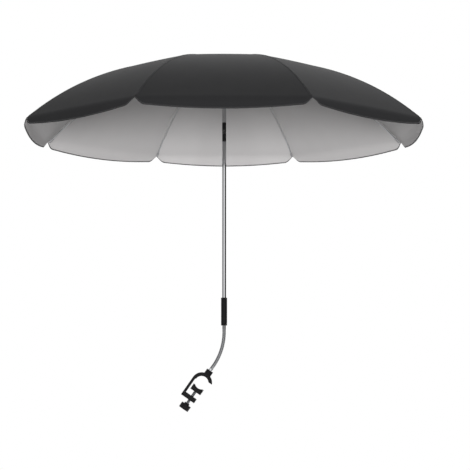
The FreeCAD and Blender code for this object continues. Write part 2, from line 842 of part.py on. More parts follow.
# Clamp, built upright round the tube and then leaned over with the gooseneck

tube_radius = size("tube_diameter") / 2
seat_radius = tube_radius + size("pad_thickness")
hoop_radius = seat_radius + size("clamp_wall")
half_width = size("clamp_width") / 2
jaw_bottom = -seat_radius - size("jaw_floor")
arm_top = jaw_bottom - size("jaw_travel") - size("body_gap")
arm_bottom = arm_top - size("clamp_arm_height")
knob_top = arm_bottom - size("jaw_squeeze") - size("knob_gap")
knob_bottom = knob_top - size("knob_neck_height") - size("knob_height")
overrun = size("overrun")


def tube_cylinder(name, radius, past=0):
    """A cylinder along the clamped tube, as wide as the clamp or running past it."""
    width = "clamp_width + 2 * overrun" if past else "clamp_width"
    return cylinder(name, radius, width, Vector(0, -half_width - past, 0), ALONG_TUBE)


def throat(name):
    """The open sides of the hoop: everything below the tube, and the mouth beside it."""
    wide = "tube_diameter / 2 + pad_thickness + clamp_wall + overrun"
    below = box(
        name + "Below", f"2 * ({wide})", "clamp_width + 2 * overrun", wide,
        Vector(-hoop_radius - overrun, -half_width - overrun, -hoop_radius - overrun),
    )
    mouth = box(
        name + "Mouth", wide, "clamp_width + 2 * overrun", "clamp_lip_rise",
        Vector(0, -half_width - overrun, 0),
    )
    return below, mouth


hoop = cut(
    "ClampHoop",
    tube_cylinder("HoopOutside", "tube_diameter / 2 + pad_thickness + clamp_wall"),
    tube_cylinder("HoopInside", "tube_diameter / 2 + pad_thickness", overrun),
    *throat("Hoop"),
)
spine = box(
    "ClampSpine", "clamp_wall", "clamp_width",
    "tube_diameter / 2 + pad_thickness + jaw_floor + jaw_travel + body_gap + clamp_arm_height",
    Vector(-hoop_radius, -half_width, arm_bottom),
)
arm = box(
    "ClampArm", "tube_diameter / 2 + pad_thickness + clamp_wall + clamp_arm_reach", "clamp_width",
    "clamp_arm_height", Vector(-hoop_radius, -half_width, arm_bottom),
)
boss_foot = seat_radius + size("clamp_wall") / 2
boss = cylinder(
    "ClampBoss", "clamp_boss_radius",
    "clamp_reach - tube_diameter / 2 - pad_thickness - clamp_wall / 2", UP * boss_foot,
)
ferrule_hole = cylinder(
    "FerruleHole", "ferrule_diameter / 2 + press_gap", "ferrule_seat + overrun",
    UP * (size("clamp_reach") - size("ferrule_seat")),
)
screw_hole = cylinder(
    "ScrewHole", "screw_diameter / 2 + slide_gap", "clamp_arm_height + 2 * overrun",
    UP * (arm_bottom - overrun),
)


def hexagon(name, circumradius, height, bottom):
    prism = doc.addObject("Part::Prism", name)
    prism.Polygon = 6
    bind(prism, Circumradius=circumradius, Height=height)
    prism.Placement.Base = UP * bottom
    return prism


nut_bottom = arm_top - size("nut_height")
nut_pocket = hexagon("NutPocket", "nut_circumradius + press_gap", "nut_height + overrun", nut_bottom)
frame = cut("ClampFrame", fuse("ClampSolid", hoop, spine, arm, boss), ferrule_hole, screw_hole, nut_pocket)
piece("clamp_frame", frame, ORIGIN, clamp_turn)

nut = cut(
    "ClampNut",
    hexagon("NutBody", "nut_circumradius", "nut_height", nut_bottom),
    cylinder(
        "NutThread", "screw_diameter / 2 + running_gap", "nut_height + 2 * overrun",
        UP * (nut_bottom - overrun),
    ),
)
piece("clamp_nut", nut, ORIGIN, clamp_turn)

seat_pad = cut(
    "SeatPad",
    tube_cylinder("SeatPadOutside", "tube_diameter / 2 + pad_thickness - press_gap"),
    tube_cylinder("SeatPadInside", "tube_diameter / 2", overrun),
    *throat("SeatPad"),
)
piece("clamp_seat_pad", seat_pad, ORIGIN, clamp_turn)

jaw_block = box(
    "JawBlock", "2 * jaw_half_width", "clamp_width",
    "tube_diameter / 2 + pad_thickness + jaw_floor - jaw_rim_drop",
    Vector(-size("jaw_half_width"), -half_width, jaw_bottom),
)
jaw_hollow = tube_cylinder("JawHollow", "tube_diameter / 2 + pad_thickness", overrun)
jaw_pocket = cylinder(
    "JawPocket", "screw_diameter / 2 + running_gap", "screw_tip_depth + overrun",
    UP * (jaw_bottom - overrun),
)
piece("clamp_jaw", cut("ClampJaw", jaw_block, jaw_hollow, jaw_pocket), ORIGIN, clamp_turn)

jaw_pad_ring = cut(
    "JawPadRing",
    tube_cylinder("JawPadOutside", "tube_diameter / 2 + pad_thickness - press_gap"),
    tube_cylinder("JawPadInside", "tube_diameter / 2", overrun),
)
jaw_pad_window = box(
    "JawPadWindow", "2 * jaw_pad_half_width", "clamp_width",
    "tube_diameter / 2 + pad_thickness + overrun - jaw_rim_drop",
    Vector(-size("jaw_pad_half_width"), -half_width, -seat_radius - overrun),
)
piece("clamp_jaw_pad", common("JawPad", jaw_pad_ring, jaw_pad_window), ORIGIN, clamp_turn)

screw_foot = knob_bottom + size("knob_gap")
screw = cylinder(
    "ClampScrew", "screw_diameter / 2",
    "screw_tip_depth - running_gap + jaw_travel + body_gap + clamp_arm_height + jaw_squeeze"
    " + knob_neck_height + knob_height",
    UP * screw_foot,
)
piece("clamp_screw", screw, ORIGIN, clamp_turn)

flutes = []
for number in range(int(size("knob_flute_count"))):
    around = Rotation(UP, 360 / size("knob_flute_count") * number)
    place = around.multVec(ACROSS * (size("knob_radius") + size("knob_flute_radius") / 2))
    flutes.append(
        cylinder(
            f"KnobFlute{number}", "knob_flute_radius", "knob_height + 2 * overrun",
            place + UP * (knob_bottom - overrun),
        )
    )
knob_body = fuse(
    "KnobBody",
    cylinder("KnobGrip", "knob_radius", "knob_height", UP * knob_bottom),
    cylinder(
        "KnobNeck", "knob_neck_radius", "knob_neck_height + knob_height", UP * knob_bottom
    ),
)
knob_hole = cylinder(
    "KnobHole", "screw_diameter / 2 + press_gap", "knob_height + knob_neck_height", UP * screw_foot
)
piece("clamp_knob", cut("ClampKnob", knob_body, knob_hole, *flutes), ORIGIN, clamp_turn)


# Check every object and write one file for each piece

doc.recompute()
for feature in doc.Objects:
    if "Invalid" in feature.State or "Error" in feature.State:
        raise RuntimeError(f"{feature.Label} did not build")
for node, feature in pieces.items():
    if feature.Shape.isNull() or not feature.Shape.isValid() or not feature.Shape.Solids:
        raise RuntimeError(f"{node} has no valid solid")

os.makedirs("parts", exist_ok=True)
for node, feature in pieces.items():
    feature.Shape.exportStep(f"parts/{node}.step")
print(len(pieces), "pieces, pole at x", round(pole_foot.x, 3), "apex at z", round(apex, 3))
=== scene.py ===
import json
import math

import bmesh
import bpy
from bpy.props import FloatProperty, FloatVectorProperty, IntProperty, PointerProperty
from mathutils import Matrix, Vector

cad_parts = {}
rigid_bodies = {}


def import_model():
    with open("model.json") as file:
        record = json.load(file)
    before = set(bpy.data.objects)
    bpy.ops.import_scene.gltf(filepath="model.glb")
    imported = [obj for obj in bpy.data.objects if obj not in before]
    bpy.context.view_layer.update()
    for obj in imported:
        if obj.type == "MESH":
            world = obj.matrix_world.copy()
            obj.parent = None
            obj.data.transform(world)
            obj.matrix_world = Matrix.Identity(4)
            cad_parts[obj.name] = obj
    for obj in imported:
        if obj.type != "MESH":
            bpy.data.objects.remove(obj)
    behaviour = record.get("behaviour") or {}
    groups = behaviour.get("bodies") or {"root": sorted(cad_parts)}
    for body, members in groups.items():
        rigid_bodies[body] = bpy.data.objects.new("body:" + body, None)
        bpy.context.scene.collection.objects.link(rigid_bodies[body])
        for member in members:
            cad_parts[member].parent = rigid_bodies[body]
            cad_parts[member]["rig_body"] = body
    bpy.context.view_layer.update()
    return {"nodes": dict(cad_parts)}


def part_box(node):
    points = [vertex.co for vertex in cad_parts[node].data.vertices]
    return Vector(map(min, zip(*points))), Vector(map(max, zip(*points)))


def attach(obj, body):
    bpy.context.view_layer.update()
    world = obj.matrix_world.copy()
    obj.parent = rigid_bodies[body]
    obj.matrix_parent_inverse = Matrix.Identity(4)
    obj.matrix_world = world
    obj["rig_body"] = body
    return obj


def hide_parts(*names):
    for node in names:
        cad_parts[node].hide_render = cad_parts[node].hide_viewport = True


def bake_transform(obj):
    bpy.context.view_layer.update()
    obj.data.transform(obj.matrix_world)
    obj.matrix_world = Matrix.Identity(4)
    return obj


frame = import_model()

bl_info = {
    "name": "Pram parasol",
    "version": (1, 0, 0),
    "blender": (4, 5, 0),
    "location": "View3D > Sidebar > Parasol",
    "description": "Cloth, metal and moulded finishes of a folding pram parasol",
    "category": "Object",
}

MM = 0.001
RIB_COUNT = 8
HALF_SECTOR = math.pi / RIB_COUNT
FIRST_RIB = HALF_SECTOR - math.pi / 2

# The canopy's profile along a rib, from the part's own sizes
CANOPY_RADIUS = 375 * MM
INNER_REACH = 117 * MM
OUTER_REACH = 355.5 * MM
INNER_SLOPE = math.radians(7.56)
OUTER_SLOPE = math.radians(39.3)
INNER_RADIUS = INNER_REACH / math.sin(INNER_SLOPE)
OUTER_RADIUS = (OUTER_REACH - INNER_REACH) / (math.sin(OUTER_SLOPE) - math.sin(INNER_SLOPE))
CLOTH_EYE = 5.4 * MM
# A panel's fullness follows this share of half a wave, from the apex to the rib tips
FULLNESS_SPAN = 0.72

# The hem bends down softly, and is cut back towards each rib
HEM_SLOPE = math.radians(68)
HEM_START = 371 * MM
HEM_BEND = 30 * MM
HEM_CENTRE_REACH = 8.8 * MM
HEM_CORNER_REACH = 6.2 * MM
HEM_CORNER_RUN = 20 * MM
HEM_CORNER_SWEEP = 2.4
# It is looked for between these shares of the canopy's radius
HEM_SEARCH_SHARES = (0.99, 1.2)
HEM_SEARCH_STEPS = 40

# The ribs under the cloth, with their clips and tip caps
RIB_DEPTH = 3.5 * MM
RIB_RADIUS = 1.2 * MM
CLIP_REACH = 160 * MM
CLIP_GAP = 9 * MM
TIP_CAP_REACH = 300 * MM

# Tape, seams, stitches and the lining's channels over the ribs
TAPE_LIFT = 0.35 * MM
TAPE_TUCK_SHARE = 0.4
TAPE_UV_STEP = 4 * TAPE_LIFT
SEAM_START = 14 * MM
SEAM_END = HEM_START
SEAM_STEPS = 60
SEAM_LIFT = 0.3 * MM
SEAM_EDGE_DEPTH = 0.1 * MM
SEAM_ROOT_DEPTH = 0.2 * MM
SEAM_TOP_SHARE = 0.9
SEAM_STITCH_SHARE = 0.6
HEM_STITCH_SHARE = 0.7
HEM_STITCH_LIFT = 0.4 * MM
STITCH_SHARE = 0.72
STITCH_MARGIN = 2
THREAD_WIDTH = 0.5 * MM
CHANNEL_START = 30 * MM
CHANNEL_END = 364 * MM
CHANNEL_STEPS = 40
CHANNEL_FADE = 40 * MM
CHANNEL_WALL = 0.5 * MM
CHANNEL_EDGE_SHARE = 0.8
CHANNEL_TIP_SHARE = 0.3
CHANNEL_BACK_WIDTH_SHARE = 0.4
CHANNEL_BACK_DEPTH_SHARE = 0.9
BULGE_STEPS = 10
# A strip along a rib takes at most this share of the half panel beside it
STRIP_SHARE = 0.85

# The gooseneck's route: straight out of the clamp, one bend, straight into the collar
NECK_TURN = math.radians(35)
NECK_FOOT = 31 * MM
NECK_FOOT_RUN = 6.4 * MM
NECK_TOP_RUN = 12 * MM
NECK_BEND = 108 * MM
NECK_RUN = NECK_FOOT_RUN + NECK_BEND * NECK_TURN + NECK_TOP_RUN
NECK_POINTS = 60
HOSE_POINTS_A_RIB = 14.0
HOSE_RIB_ROUNDNESS = 0.5
FERRULE_EDGE = 0.4 * MM

# The clamp: its screw, and how far its edges are rounded against those of other pieces
SCREW_PITCH = 2 * MM
THREAD_DEPTH_SHARE = 0.4
THREAD_STEEPNESS = 1.25
CLAMP_EDGE_SHARES = {"clamp_frame": 2.6, "clamp_jaw": 2.0, "clamp_knob": 1.6}
PAD_EDGE_SHARE = 0.6

# Working limits of the meshes
MERGE_DISTANCE = 1e-6
FLAT_WITHIN = math.radians(0.5)
ROUND_FROM = math.radians(40)
MOULDED_SHARP = math.radians(30)
CLOTH_SHARP = math.radians(40)
STRIP_SHARP = math.radians(50)

pole_low, pole_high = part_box("upper_pole")
POLE = Vector(((pole_low.x + pole_high.x) / 2, 0, 0))
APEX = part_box("canopy_panel_1")[1].z


# Properties


def colour_property(label, words, hex_value):
    return FloatVectorProperty(
        name=label, description=words, subtype="COLOR", size=4, min=0, max=1, default=linear(hex_value)
    )


def length_property(label, words, millimetres):
    return FloatProperty(name=label, description=words, unit="LENGTH", default=millimetres * MM, min=0)


def linear(hex_value):
    """An sRGB hex colour as linear red, green, blue and alpha."""
    channels = [int(hex_value[start:start + 2], 16) / 255 for start in (1, 3, 5)]
    return tuple(c / 12.92 if c <= 0.04045 else ((c + 0.055) / 1.055) ** 2.4 for c in channels) + (1.0,)


def shaded(colour, share):
    """A darker shade of a linear colour."""
    return tuple(channel * share for channel in colour[:3]) + (1.0,)


class CanopyProperties(bpy.types.PropertyGroup):
    cloth: colour_property("Cloth", "Outside of the canopy", "#303031")
    lining: colour_property("Lining", "Coated inside of the canopy", "#cdcbcb")
    binding: colour_property("Binding", "Tape round the hem", "#363637")
    thread: colour_property("Thread", "Sewing thread", "#2c2c2e")
    thickness: length_property("Cloth thickness", "Outer cloth and lining together", 0.7)
    fullness: length_property("Fullness", "How far a panel stands out between its ribs", 1.0)
    binding_width: length_property("Binding width", "Tape shown on each side of the hem", 0.7)
    seam_width: length_property("Seam width", "Sewn strip along each rib", 6.0)
    stitch_pitch: length_property("Stitch pitch", "From one stitch to the next", 3.2)
    channel_width: length_property("Rib channel width", "Lining drawn over a rib", 10.0)


class FittingProperties(bpy.types.PropertyGroup):
    plastic: colour_property("Moulded plastic", "Crown, runner, sockets and clamp", "#131314")
    rubber: colour_property("Rubber", "Pads of the clamp", "#19191a")
    chrome: colour_property("Chrome", "Pole tubes", "#d9dadc")
    steel: colour_property("Spring steel", "Ribs and stretchers", "#a9abad")
    # Darker than bare satin nickel: partly the hose's own colour, partly painted shade.
    hose: colour_property("Satin hose", "Gooseneck", "#98999b")
    edge: length_property("Edge rounding", "Radius on moulded edges", 0.5)
    hose_ribs: IntProperty(name="Hose ribs", description="Ribs on each half of the hose", default=22, min=4)
    hose_crest: length_property("Hose diameter", "Across the crests of the ribs", 6.4)
    hose_valley: length_property("Hose valley", "Across the grooves between ribs", 5.5)


class StageProperties(bpy.types.PropertyGroup):
    lens: FloatProperty(name="Lens", description="Focal length in millimetres", default=106.14, min=1)
    camera_place: FloatVectorProperty(
        name="Camera", description="Place of the camera", subtype="TRANSLATION", unit="LENGTH",
        default=(0.0478, -2.5517, 0.0635),
    )
    pitch: FloatProperty(
        name="Pitch", description="Upward tilt of the camera", subtype="ANGLE", default=math.radians(4.6585)
    )
    yaw: FloatProperty(
        name="Yaw", description="Rightward turn of the camera", subtype="ANGLE", default=math.radians(0.298)
    )
    floor_drop: length_property("Floor drop", "Floor below the clamp", 620.0)
    floor_colour: colour_property("Floor", "Pale floor", "#e8e8e8")


# Shared makers


def add_node(tree, kind, inputs=None, **settings):
    """One node, with its settings and its inputs set or linked."""
    node = tree.nodes.new(kind)
    for name, value in settings.items():
        setattr(node, name, value)
    for name, value in (inputs or {}).items():
        socket = node.inputs[name]
        if isinstance(value, bpy.types.NodeSocket):
            tree.links.new(value, socket)
        else:
            socket.default_value = value
    return node


def start_material(name):
    """A material with an empty node tree."""
    material = bpy.data.materials.new(name)
    material.use_nodes = True
    material.node_tree.nodes.clear()
    return material, material.node_tree


def close_material(tree, **inputs):
    """The shader and the output that end every material."""
    shader = add_node(tree, "ShaderNodeBsdfPrincipled", {k.replace("_", " "): v for k, v in inputs.items()})
    add_node(tree, "ShaderNodeOutputMaterial", {"Surface": shader.outputs["BSDF"]})


def noise_scale(millimetres):
    """Noise cells of this size, on coordinates in metres."""
    return 1 / (millimetres * MM)


def band_scale(millimetres):
    """Wave bands this far apart, on coordinates in metres; at a scale of 1 they are pi/10 apart."""
    return math.pi / 10 / (millimetres * MM)


def put(name, data):
    """A new object of the scene, with its mesh, lamp or camera."""
    piece = bpy.data.objects.new(name, data)
    bpy.context.scene.collection.objects.link(piece)
    return piece


def mesh_piece(name, vertices, faces, smooth=True):
    """A piece made of these points and faces."""
    mesh = bpy.data.meshes.new(name)
    mesh.from_pydata([tuple(v) for v in vertices], [], faces)
    mesh.validate()
    mesh.polygons.foreach_set("use_smooth", [smooth] * len(mesh.polygons))
    return put(name, mesh)


def outward(piece):
    """Merge doubles and turn every face outwards."""
    work = bmesh.new()
    work.from_mesh(piece.data)
    bmesh.ops.remove_doubles(work, verts=work.verts, dist=MERGE_DISTANCE)
    bmesh.ops.recalc_face_normals(work, faces=work.faces)
    work.to_mesh(piece.data)
    work.free()
    return piece


def baked(piece, name):
    """The piece with its modifiers turned into a plain mesh."""
    view = bpy.context.evaluated_depsgraph_get()
    mesh = bpy.data.meshes.new_from_object(piece.evaluated_get(view))
    bpy.data.objects.remove(piece)
    mesh.name = name
    return put(name, mesh)


def path_piece(name, points):
    """A line of edges for geometry nodes to follow."""
    mesh = bpy.data.meshes.new(name)
    mesh.from_pydata([tuple(p) for p in points], [(n, n + 1) for n in range(len(points) - 1)], [])
    return put(name, mesh)


def run_tree(piece, tree, name, **values):
    """Grow a node tree on a piece and keep the result as a plain mesh."""
    grown = piece.modifiers.new(tree.name, "NODES")
    grown.node_group = tree
    sockets = {s.name: s.identifier for s in tree.interface.items_tree if s.in_out == "INPUT"}
    for label, value in values.items():
        grown[sockets[label.replace("_", " ").capitalize()]] = value
    return baked(piece, name)


def new_tree(name, sockets):
    """A geometry tree with a geometry input and output, and named inputs between."""
    tree = bpy.data.node_groups.new(name, "GeometryNodeTree")
    tree.interface.new_socket("Geometry", in_out="INPUT", socket_type="NodeSocketGeometry")
    for label, kind in sockets:
        tree.interface.new_socket(label, in_out="INPUT", socket_type=kind)
    tree.interface.new_socket("Geometry", in_out="OUTPUT", socket_type="NodeSocketGeometry")
    return tree, add_node(tree, "NodeGroupInput").outputs


# Materials


def cloth_material(look):
    # Polyester pongee, woven and dyed: matt charcoal with a soft sheen at grazing angles.
    # Its threads are about 0.2 mm apart; they are drawn at 1.1 mm so that they show.
    material, tree = start_material("charcoal_pongee")
    uv = add_node(tree, "ShaderNodeUVMap").outputs["UV"]
    warp = add_node(tree, "ShaderNodeTexWave", {"Vector": uv, "Scale": band_scale(1.1)}, bands_direction="X")
    weft = add_node(tree, "ShaderNodeTexWave", {"Vector": uv, "Scale": band_scale(1.1)}, bands_direction="Y")
    weave = add_node(
        tree, "ShaderNodeMath", {0: warp.outputs["Fac"], 1: weft.outputs["Fac"]}, operation="MULTIPLY"
    )
    slub = add_node(tree, "ShaderNodeTexNoise", {"Vector": uv, "Scale": noise_scale(38), "Detail": 4.0})
    shade = add_node(
        tree, "ShaderNodeMix", {0: slub.outputs["Fac"], 6: shaded(look.cloth, 0.84), 7: look.cloth},
        data_type="RGBA",
    )
    bump = add_node(
        tree, "ShaderNodeBump",
        {"Height": weave.outputs["Value"], "Strength": 0.16, "Distance": 0.15 * MM},
    )
    close_material(
        tree, Base_Color=shade.outputs[2], Roughness=0.85, Specular_IOR_Level=0.05, Sheen_Weight=0.02,
        Sheen_Roughness=0.4, Normal=bump.outputs["Normal"],
    )
    return material


def lining_material(name, colour):
    # Polyester with a silver sun coating: even pale grey, half-matt, with a faint rolled-on mottle.
    # The weave under the coating is drawn at 1.3 mm, coarser than it is, so that it shows.
    material, tree = start_material(name)
    uv = add_node(tree, "ShaderNodeUVMap").outputs["UV"]
    warp = add_node(tree, "ShaderNodeTexWave", {"Vector": uv, "Scale": band_scale(1.3)}, bands_direction="X")
    weft = add_node(tree, "ShaderNodeTexWave", {"Vector": uv, "Scale": band_scale(1.3)}, bands_direction="Y")
    weave = add_node(
        tree, "ShaderNodeMath", {0: warp.outputs["Fac"], 1: weft.outputs["Fac"]}, operation="MULTIPLY"
    )
    mottle = add_node(tree, "ShaderNodeTexNoise", {"Vector": uv, "Scale": noise_scale(24), "Detail": 3.0})
    gloss = add_node(
        tree, "ShaderNodeMapRange", {"Value": mottle.outputs["Fac"], "To Min": 0.46, "To Max": 0.6}
    )
    shade = add_node(
        tree, "ShaderNodeMix", {0: mottle.outputs["Fac"], 6: shaded(colour, 0.95), 7: colour},
        data_type="RGBA",
    )
    bump = add_node(
        tree, "ShaderNodeBump",
        {"Height": weave.outputs["Value"], "Strength": 0.1, "Distance": 0.1 * MM},
    )
    close_material(
        tree, Base_Color=shade.outputs[2], Specular_IOR_Level=0.25, Roughness=gloss.outputs["Result"],
        Normal=bump.outputs["Normal"],
    )
    return material


def binding_material(look):
    # Polyester grosgrain tape: matt black with fine cross ribs, drawn 0.9 mm apart.
    material, tree = start_material("grosgrain_binding")
    uv = add_node(tree, "ShaderNodeUVMap").outputs["UV"]
    ribs = add_node(tree, "ShaderNodeTexWave", {"Vector": uv, "Scale": band_scale(0.9)}, bands_direction="X")
    fluff = add_node(tree, "ShaderNodeTexNoise", {"Vector": uv, "Scale": noise_scale(6), "Detail": 2.0})
    shade = add_node(
        tree, "ShaderNodeMix", {0: fluff.outputs["Fac"], 6: shaded(look.binding, 0.75), 7: look.binding},
        data_type="RGBA",
    )
    bump = add_node(
        tree, "ShaderNodeBump",
        {"Height": ribs.outputs["Fac"], "Strength": 0.35, "Distance": 0.2 * MM},
    )
    close_material(tree, Base_Color=shade.outputs[2], Roughness=0.8, Normal=bump.outputs["Normal"])
    return material


def thread_material(look):
    # Spun polyester thread: dull, with a twist drawn 0.5 mm apart.
    material, tree = start_material("sewing_thread")
    place = add_node(tree, "ShaderNodeTexCoord").outputs["Object"]
    twist = add_node(
        tree, "ShaderNodeTexWave", {"Vector": place, "Scale": band_scale(0.5)}, bands_direction="DIAGONAL"
    )
    shade = add_node(
        tree, "ShaderNodeMix", {0: twist.outputs["Fac"], 6: shaded(look.thread, 0.7), 7: look.thread},
        data_type="RGBA",
    )
    close_material(tree, Base_Color=shade.outputs[2], Roughness=0.7)
    return material


def metal_material(name, colour, roughness, streak_mm, direction, depth):
    """A drawn or plated metal: fine streaks along the drawing direction vary the gloss."""
    material, tree = start_material(name)
    place = add_node(tree, "ShaderNodeTexCoord").outputs["Object"]
    stretch = add_node(tree, "ShaderNodeMapping", {"Vector": place, "Scale": direction})
    streaks = add_node(
        tree, "ShaderNodeTexNoise",
        {"Vector": stretch.outputs["Vector"], "Scale": noise_scale(streak_mm), "Detail": 5.0},
    )
    gloss = add_node(
        tree, "ShaderNodeMapRange",
        {"Value": streaks.outputs["Fac"], "To Min": roughness * 0.75, "To Max": roughness * 1.35},
    )
    shade = add_node(
        tree, "ShaderNodeMix", {0: streaks.outputs["Fac"], 6: shaded(colour, 0.93), 7: colour},
        data_type="RGBA",
    )
    bump = add_node(
        tree, "ShaderNodeBump",
        {"Height": streaks.outputs["Fac"], "Strength": depth, "Distance": 0.05 * MM},
    )
    close_material(
        tree, Base_Color=shade.outputs[2], Metallic=1.0, Roughness=gloss.outputs["Result"],
        Normal=bump.outputs["Normal"],
    )
    return material


def moulded_material(name, colour, roughness, grain_mm, depth):
    """A moulded surface: fine spark grain, with slight patches of handling gloss."""
    material, tree = start_material(name)
    place = add_node(tree, "ShaderNodeTexCoord").outputs["Object"]
    grain = add_node(
        tree, "ShaderNodeTexNoise", {"Vector": place, "Scale": noise_scale(grain_mm), "Detail": 6.0}
    )
    patch = add_node(tree, "ShaderNodeTexNoise", {"Vector": place, "Scale": noise_scale(12), "Detail": 2.0})
    gloss = add_node(
        tree, "ShaderNodeMapRange",
        {"Value": patch.outputs["Fac"], "To Min": roughness * 0.85, "To Max": roughness * 1.15},
    )
    shade = add_node(
        tree, "ShaderNodeMix", {0: patch.outputs["Fac"], 6: shaded(colour, 0.85), 7: colour},
        data_type="RGBA",
    )
    bump = add_node(
        tree, "ShaderNodeBump",
        {"Height": grain.outputs["Fac"], "Strength": depth, "Distance": 0.1 * MM},
    )
    close_material(
        tree, Base_Color=shade.outputs[2], Specular_IOR_Level=0.18, Roughness=gloss.outputs["Result"],
        Normal=bump.outputs["Normal"],
    )
    return material


def finish(name):
    """A finish of the parasol, made on its first use."""
    made = bpy.data.materials.get(name)
    if made:
        return made
    canopy = bpy.context.scene.parasol_canopy
    fitting = bpy.context.scene.parasol_fittings
    makers = {
        "charcoal_pongee": lambda: cloth_material(canopy),
        "silver_coated_lining": lambda: lining_material("silver_coated_lining", canopy.lining),
        # The same cloth where it is folded over a rib, a shade darker: painted shade, for the shadow beside
        # each rib.
        "lining_painted_shade": lambda: lining_material("lining_painted_shade", shaded(canopy.lining, 0.82)),
        "grosgrain_binding": lambda: binding_material(canopy),
        "sewing_thread": lambda: thread_material(canopy),
        # Bright chrome on drawn tube: near mirror, faint lines along the tube.
        "chromed_tube": lambda: metal_material("chromed_tube", fitting.chrome, 0.08, 4.0, (1, 1, 0.05), 0.0),
        # Drawn spring-steel wire: satin grey with drawing lines.
        "spring_steel_wire": lambda: metal_material(
            "spring_steel_wire", fitting.steel, 0.3, 0.8, (0.2, 0.2, 1), 0.08),
        # Wound steel hose with satin nickel: brushed round the hose. Its colour is darker than bare nickel:
        # partly its own, partly painted shade.
        "satin_nickel_hose": lambda: metal_material(
            "satin_nickel_hose", fitting.hose, 0.22, 0.9, (1, 1, 0.3), 0.08),
        # Zinc-plated steel: cool grey with a cloudy bloom.
        "zinc_plate": lambda: metal_material("zinc_plate", linear("#b4b6b8"), 0.34, 2.4, (1, 1, 1), 0.06),
        # Glass-filled nylon, moulded in a spark-eroded tool: dull black with fine grain.
        "moulded_nylon": lambda: moulded_material("moulded_nylon", fitting.plastic, 0.48, 0.35, 0.22),
        # The same nylon in grey, for the caps sewn into the rib tips.
        "grey_nylon": lambda: moulded_material("grey_nylon", linear("#a3a3a5"), 0.55, 0.35, 0.2),
        # Soft moulded rubber: darker and duller, with a powdery bloom.
        "moulded_rubber": lambda: moulded_material("moulded_rubber", fitting.rubber, 0.72, 0.6, 0.3),
    }
    return makers[name]()


# Canopy surface


def profile(reach):
    """Height against the apex, and slope, along a rib."""
    if reach <= INNER_REACH:
        slope = math.asin(reach / INNER_RADIUS)
        return -INNER_RADIUS * (1 - math.cos(slope)), slope
    centre_reach = (INNER_RADIUS - OUTER_RADIUS) * math.sin(INNER_SLOPE)
    centre_height = -INNER_RADIUS + (INNER_RADIUS - OUTER_RADIUS) * math.cos(INNER_SLOPE)
    if reach <= OUTER_REACH:
        slope = math.asin((reach - centre_reach) / OUTER_RADIUS)
        return centre_height + OUTER_RADIUS * math.cos(slope), slope
    rim_run = min(reach, HEM_START) - OUTER_REACH
    height = centre_height + OUTER_RADIUS * math.cos(OUTER_SLOPE) - rim_run * math.tan(OUTER_SLOPE)
    bend_run = HEM_BEND * (math.sin(HEM_SLOPE) - math.sin(OUTER_SLOPE))
    past = min(max(reach - HEM_START, 0), bend_run)
    slope = math.asin(math.sin(OUTER_SLOPE) + past / HEM_BEND)
    height -= HEM_BEND * (math.cos(OUTER_SLOPE) - math.cos(slope))
    return height - max(reach - HEM_START - bend_run, 0) * math.tan(HEM_SLOPE), slope


def hem_across(side):
    """Plan distance of the hem from the pole, at a distance to the side of a panel's middle."""
    chord = CANOPY_RADIUS * math.cos(HALF_SECTOR)
    half_chord = CANOPY_RADIUS * math.sin(HALF_SECTOR)
    corner = half_chord - HEM_CORNER_RUN
    side = abs(side)
    if side >= corner:
        share = max(half_chord - side, 0) / HEM_CORNER_RUN
        return chord + HEM_CORNER_REACH * (1 - (1 - share) ** HEM_CORNER_SWEEP)
    bow = HEM_CENTRE_REACH - HEM_CORNER_REACH
    radius = (corner ** 2 + bow ** 2) / (2 * bow)
    return chord + HEM_CENTRE_REACH - radius + math.sqrt(radius ** 2 - side ** 2)


def hem_reach(across):
    """Reach of the hem at a share across a panel, from -1 at its first rib to 1 at its second."""
    low, high = (CANOPY_RADIUS * share for share in HEM_SEARCH_SHARES)
    for step in range(HEM_SEARCH_STEPS):
        middle = (low + high) / 2
        inside = middle * math.cos(HALF_SECTOR) < hem_across(across * middle * math.sin(HALF_SECTOR))
        low, high = (middle, high) if inside else (low, middle)
    return low


def before(number):
    """The number of the panel before this one, round the pole."""
    return RIB_COUNT if number == 1 else number - 1


def after(number):
    """The number of the rib after this one, round the pole."""
    return number % RIB_COUNT + 1


def panel_matrix(number):
    """Places a panel, which is drawn with its middle along X."""
    rib_turn = FIRST_RIB + 2 * HALF_SECTOR * (number - 1)
    return Matrix.Translation(POLE) @ Matrix.Rotation(rib_turn + HALF_SECTOR, 4, "Z")


def cloth_point(number, across, reach, depth=0.0):
    """A point of a panel, at a depth under its outside."""
    fullness = bpy.context.scene.parasol_canopy.fullness
    height, slope = profile(reach)
    slope = math.atan(math.tan(slope) / math.cos(HALF_SECTOR))
    share = min(reach / CANOPY_RADIUS, 1)
    inward = depth - fullness * (1 - across ** 2) * math.sin(math.pi * share * FULLNESS_SPAN)
    local = Vector((
        reach * math.cos(HALF_SECTOR) - inward * math.sin(slope),
        across * reach * math.sin(HALF_SECTOR),
        APEX + height - inward * math.cos(slope),
    ))
    return panel_matrix(number) @ local


def fold_with_ribs(piece, number):
    """Bake the piece's placement into its mesh."""
    cloth_point(number, -1, CANOPY_RADIUS)
    cloth_point(number, 1, CANOPY_RADIUS)
    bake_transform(piece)
    return piece


def spread(low, high, count):
    """Even steps from one number to another, both included."""
    return [low + (high - low) * n / count for n in range(count + 1)]


# A panel's points lie closer together past these shares of its width and length
CLOSE_ACROSS = 0.86
CLOSE_ALONG = 0.93
HALF_ACROSS = spread(0, CLOSE_ACROSS, 14) + spread(CLOSE_ACROSS, 1, 9)[1:]
ACROSS = [-a for a in reversed(HALF_ACROSS[1:])] + HALF_ACROSS
ALONG = spread(0, CLOSE_ALONG, 30) + spread(CLOSE_ALONG, 1, 16)[1:]


def write_uv(piece, places):
    """A UV map in metres, from one flat place for each vertex."""
    layer = piece.data.uv_layers.new(name="UVMap")
    for loop in piece.data.loops:
        layer.data[loop.index].uv = places[loop.vertex_index]


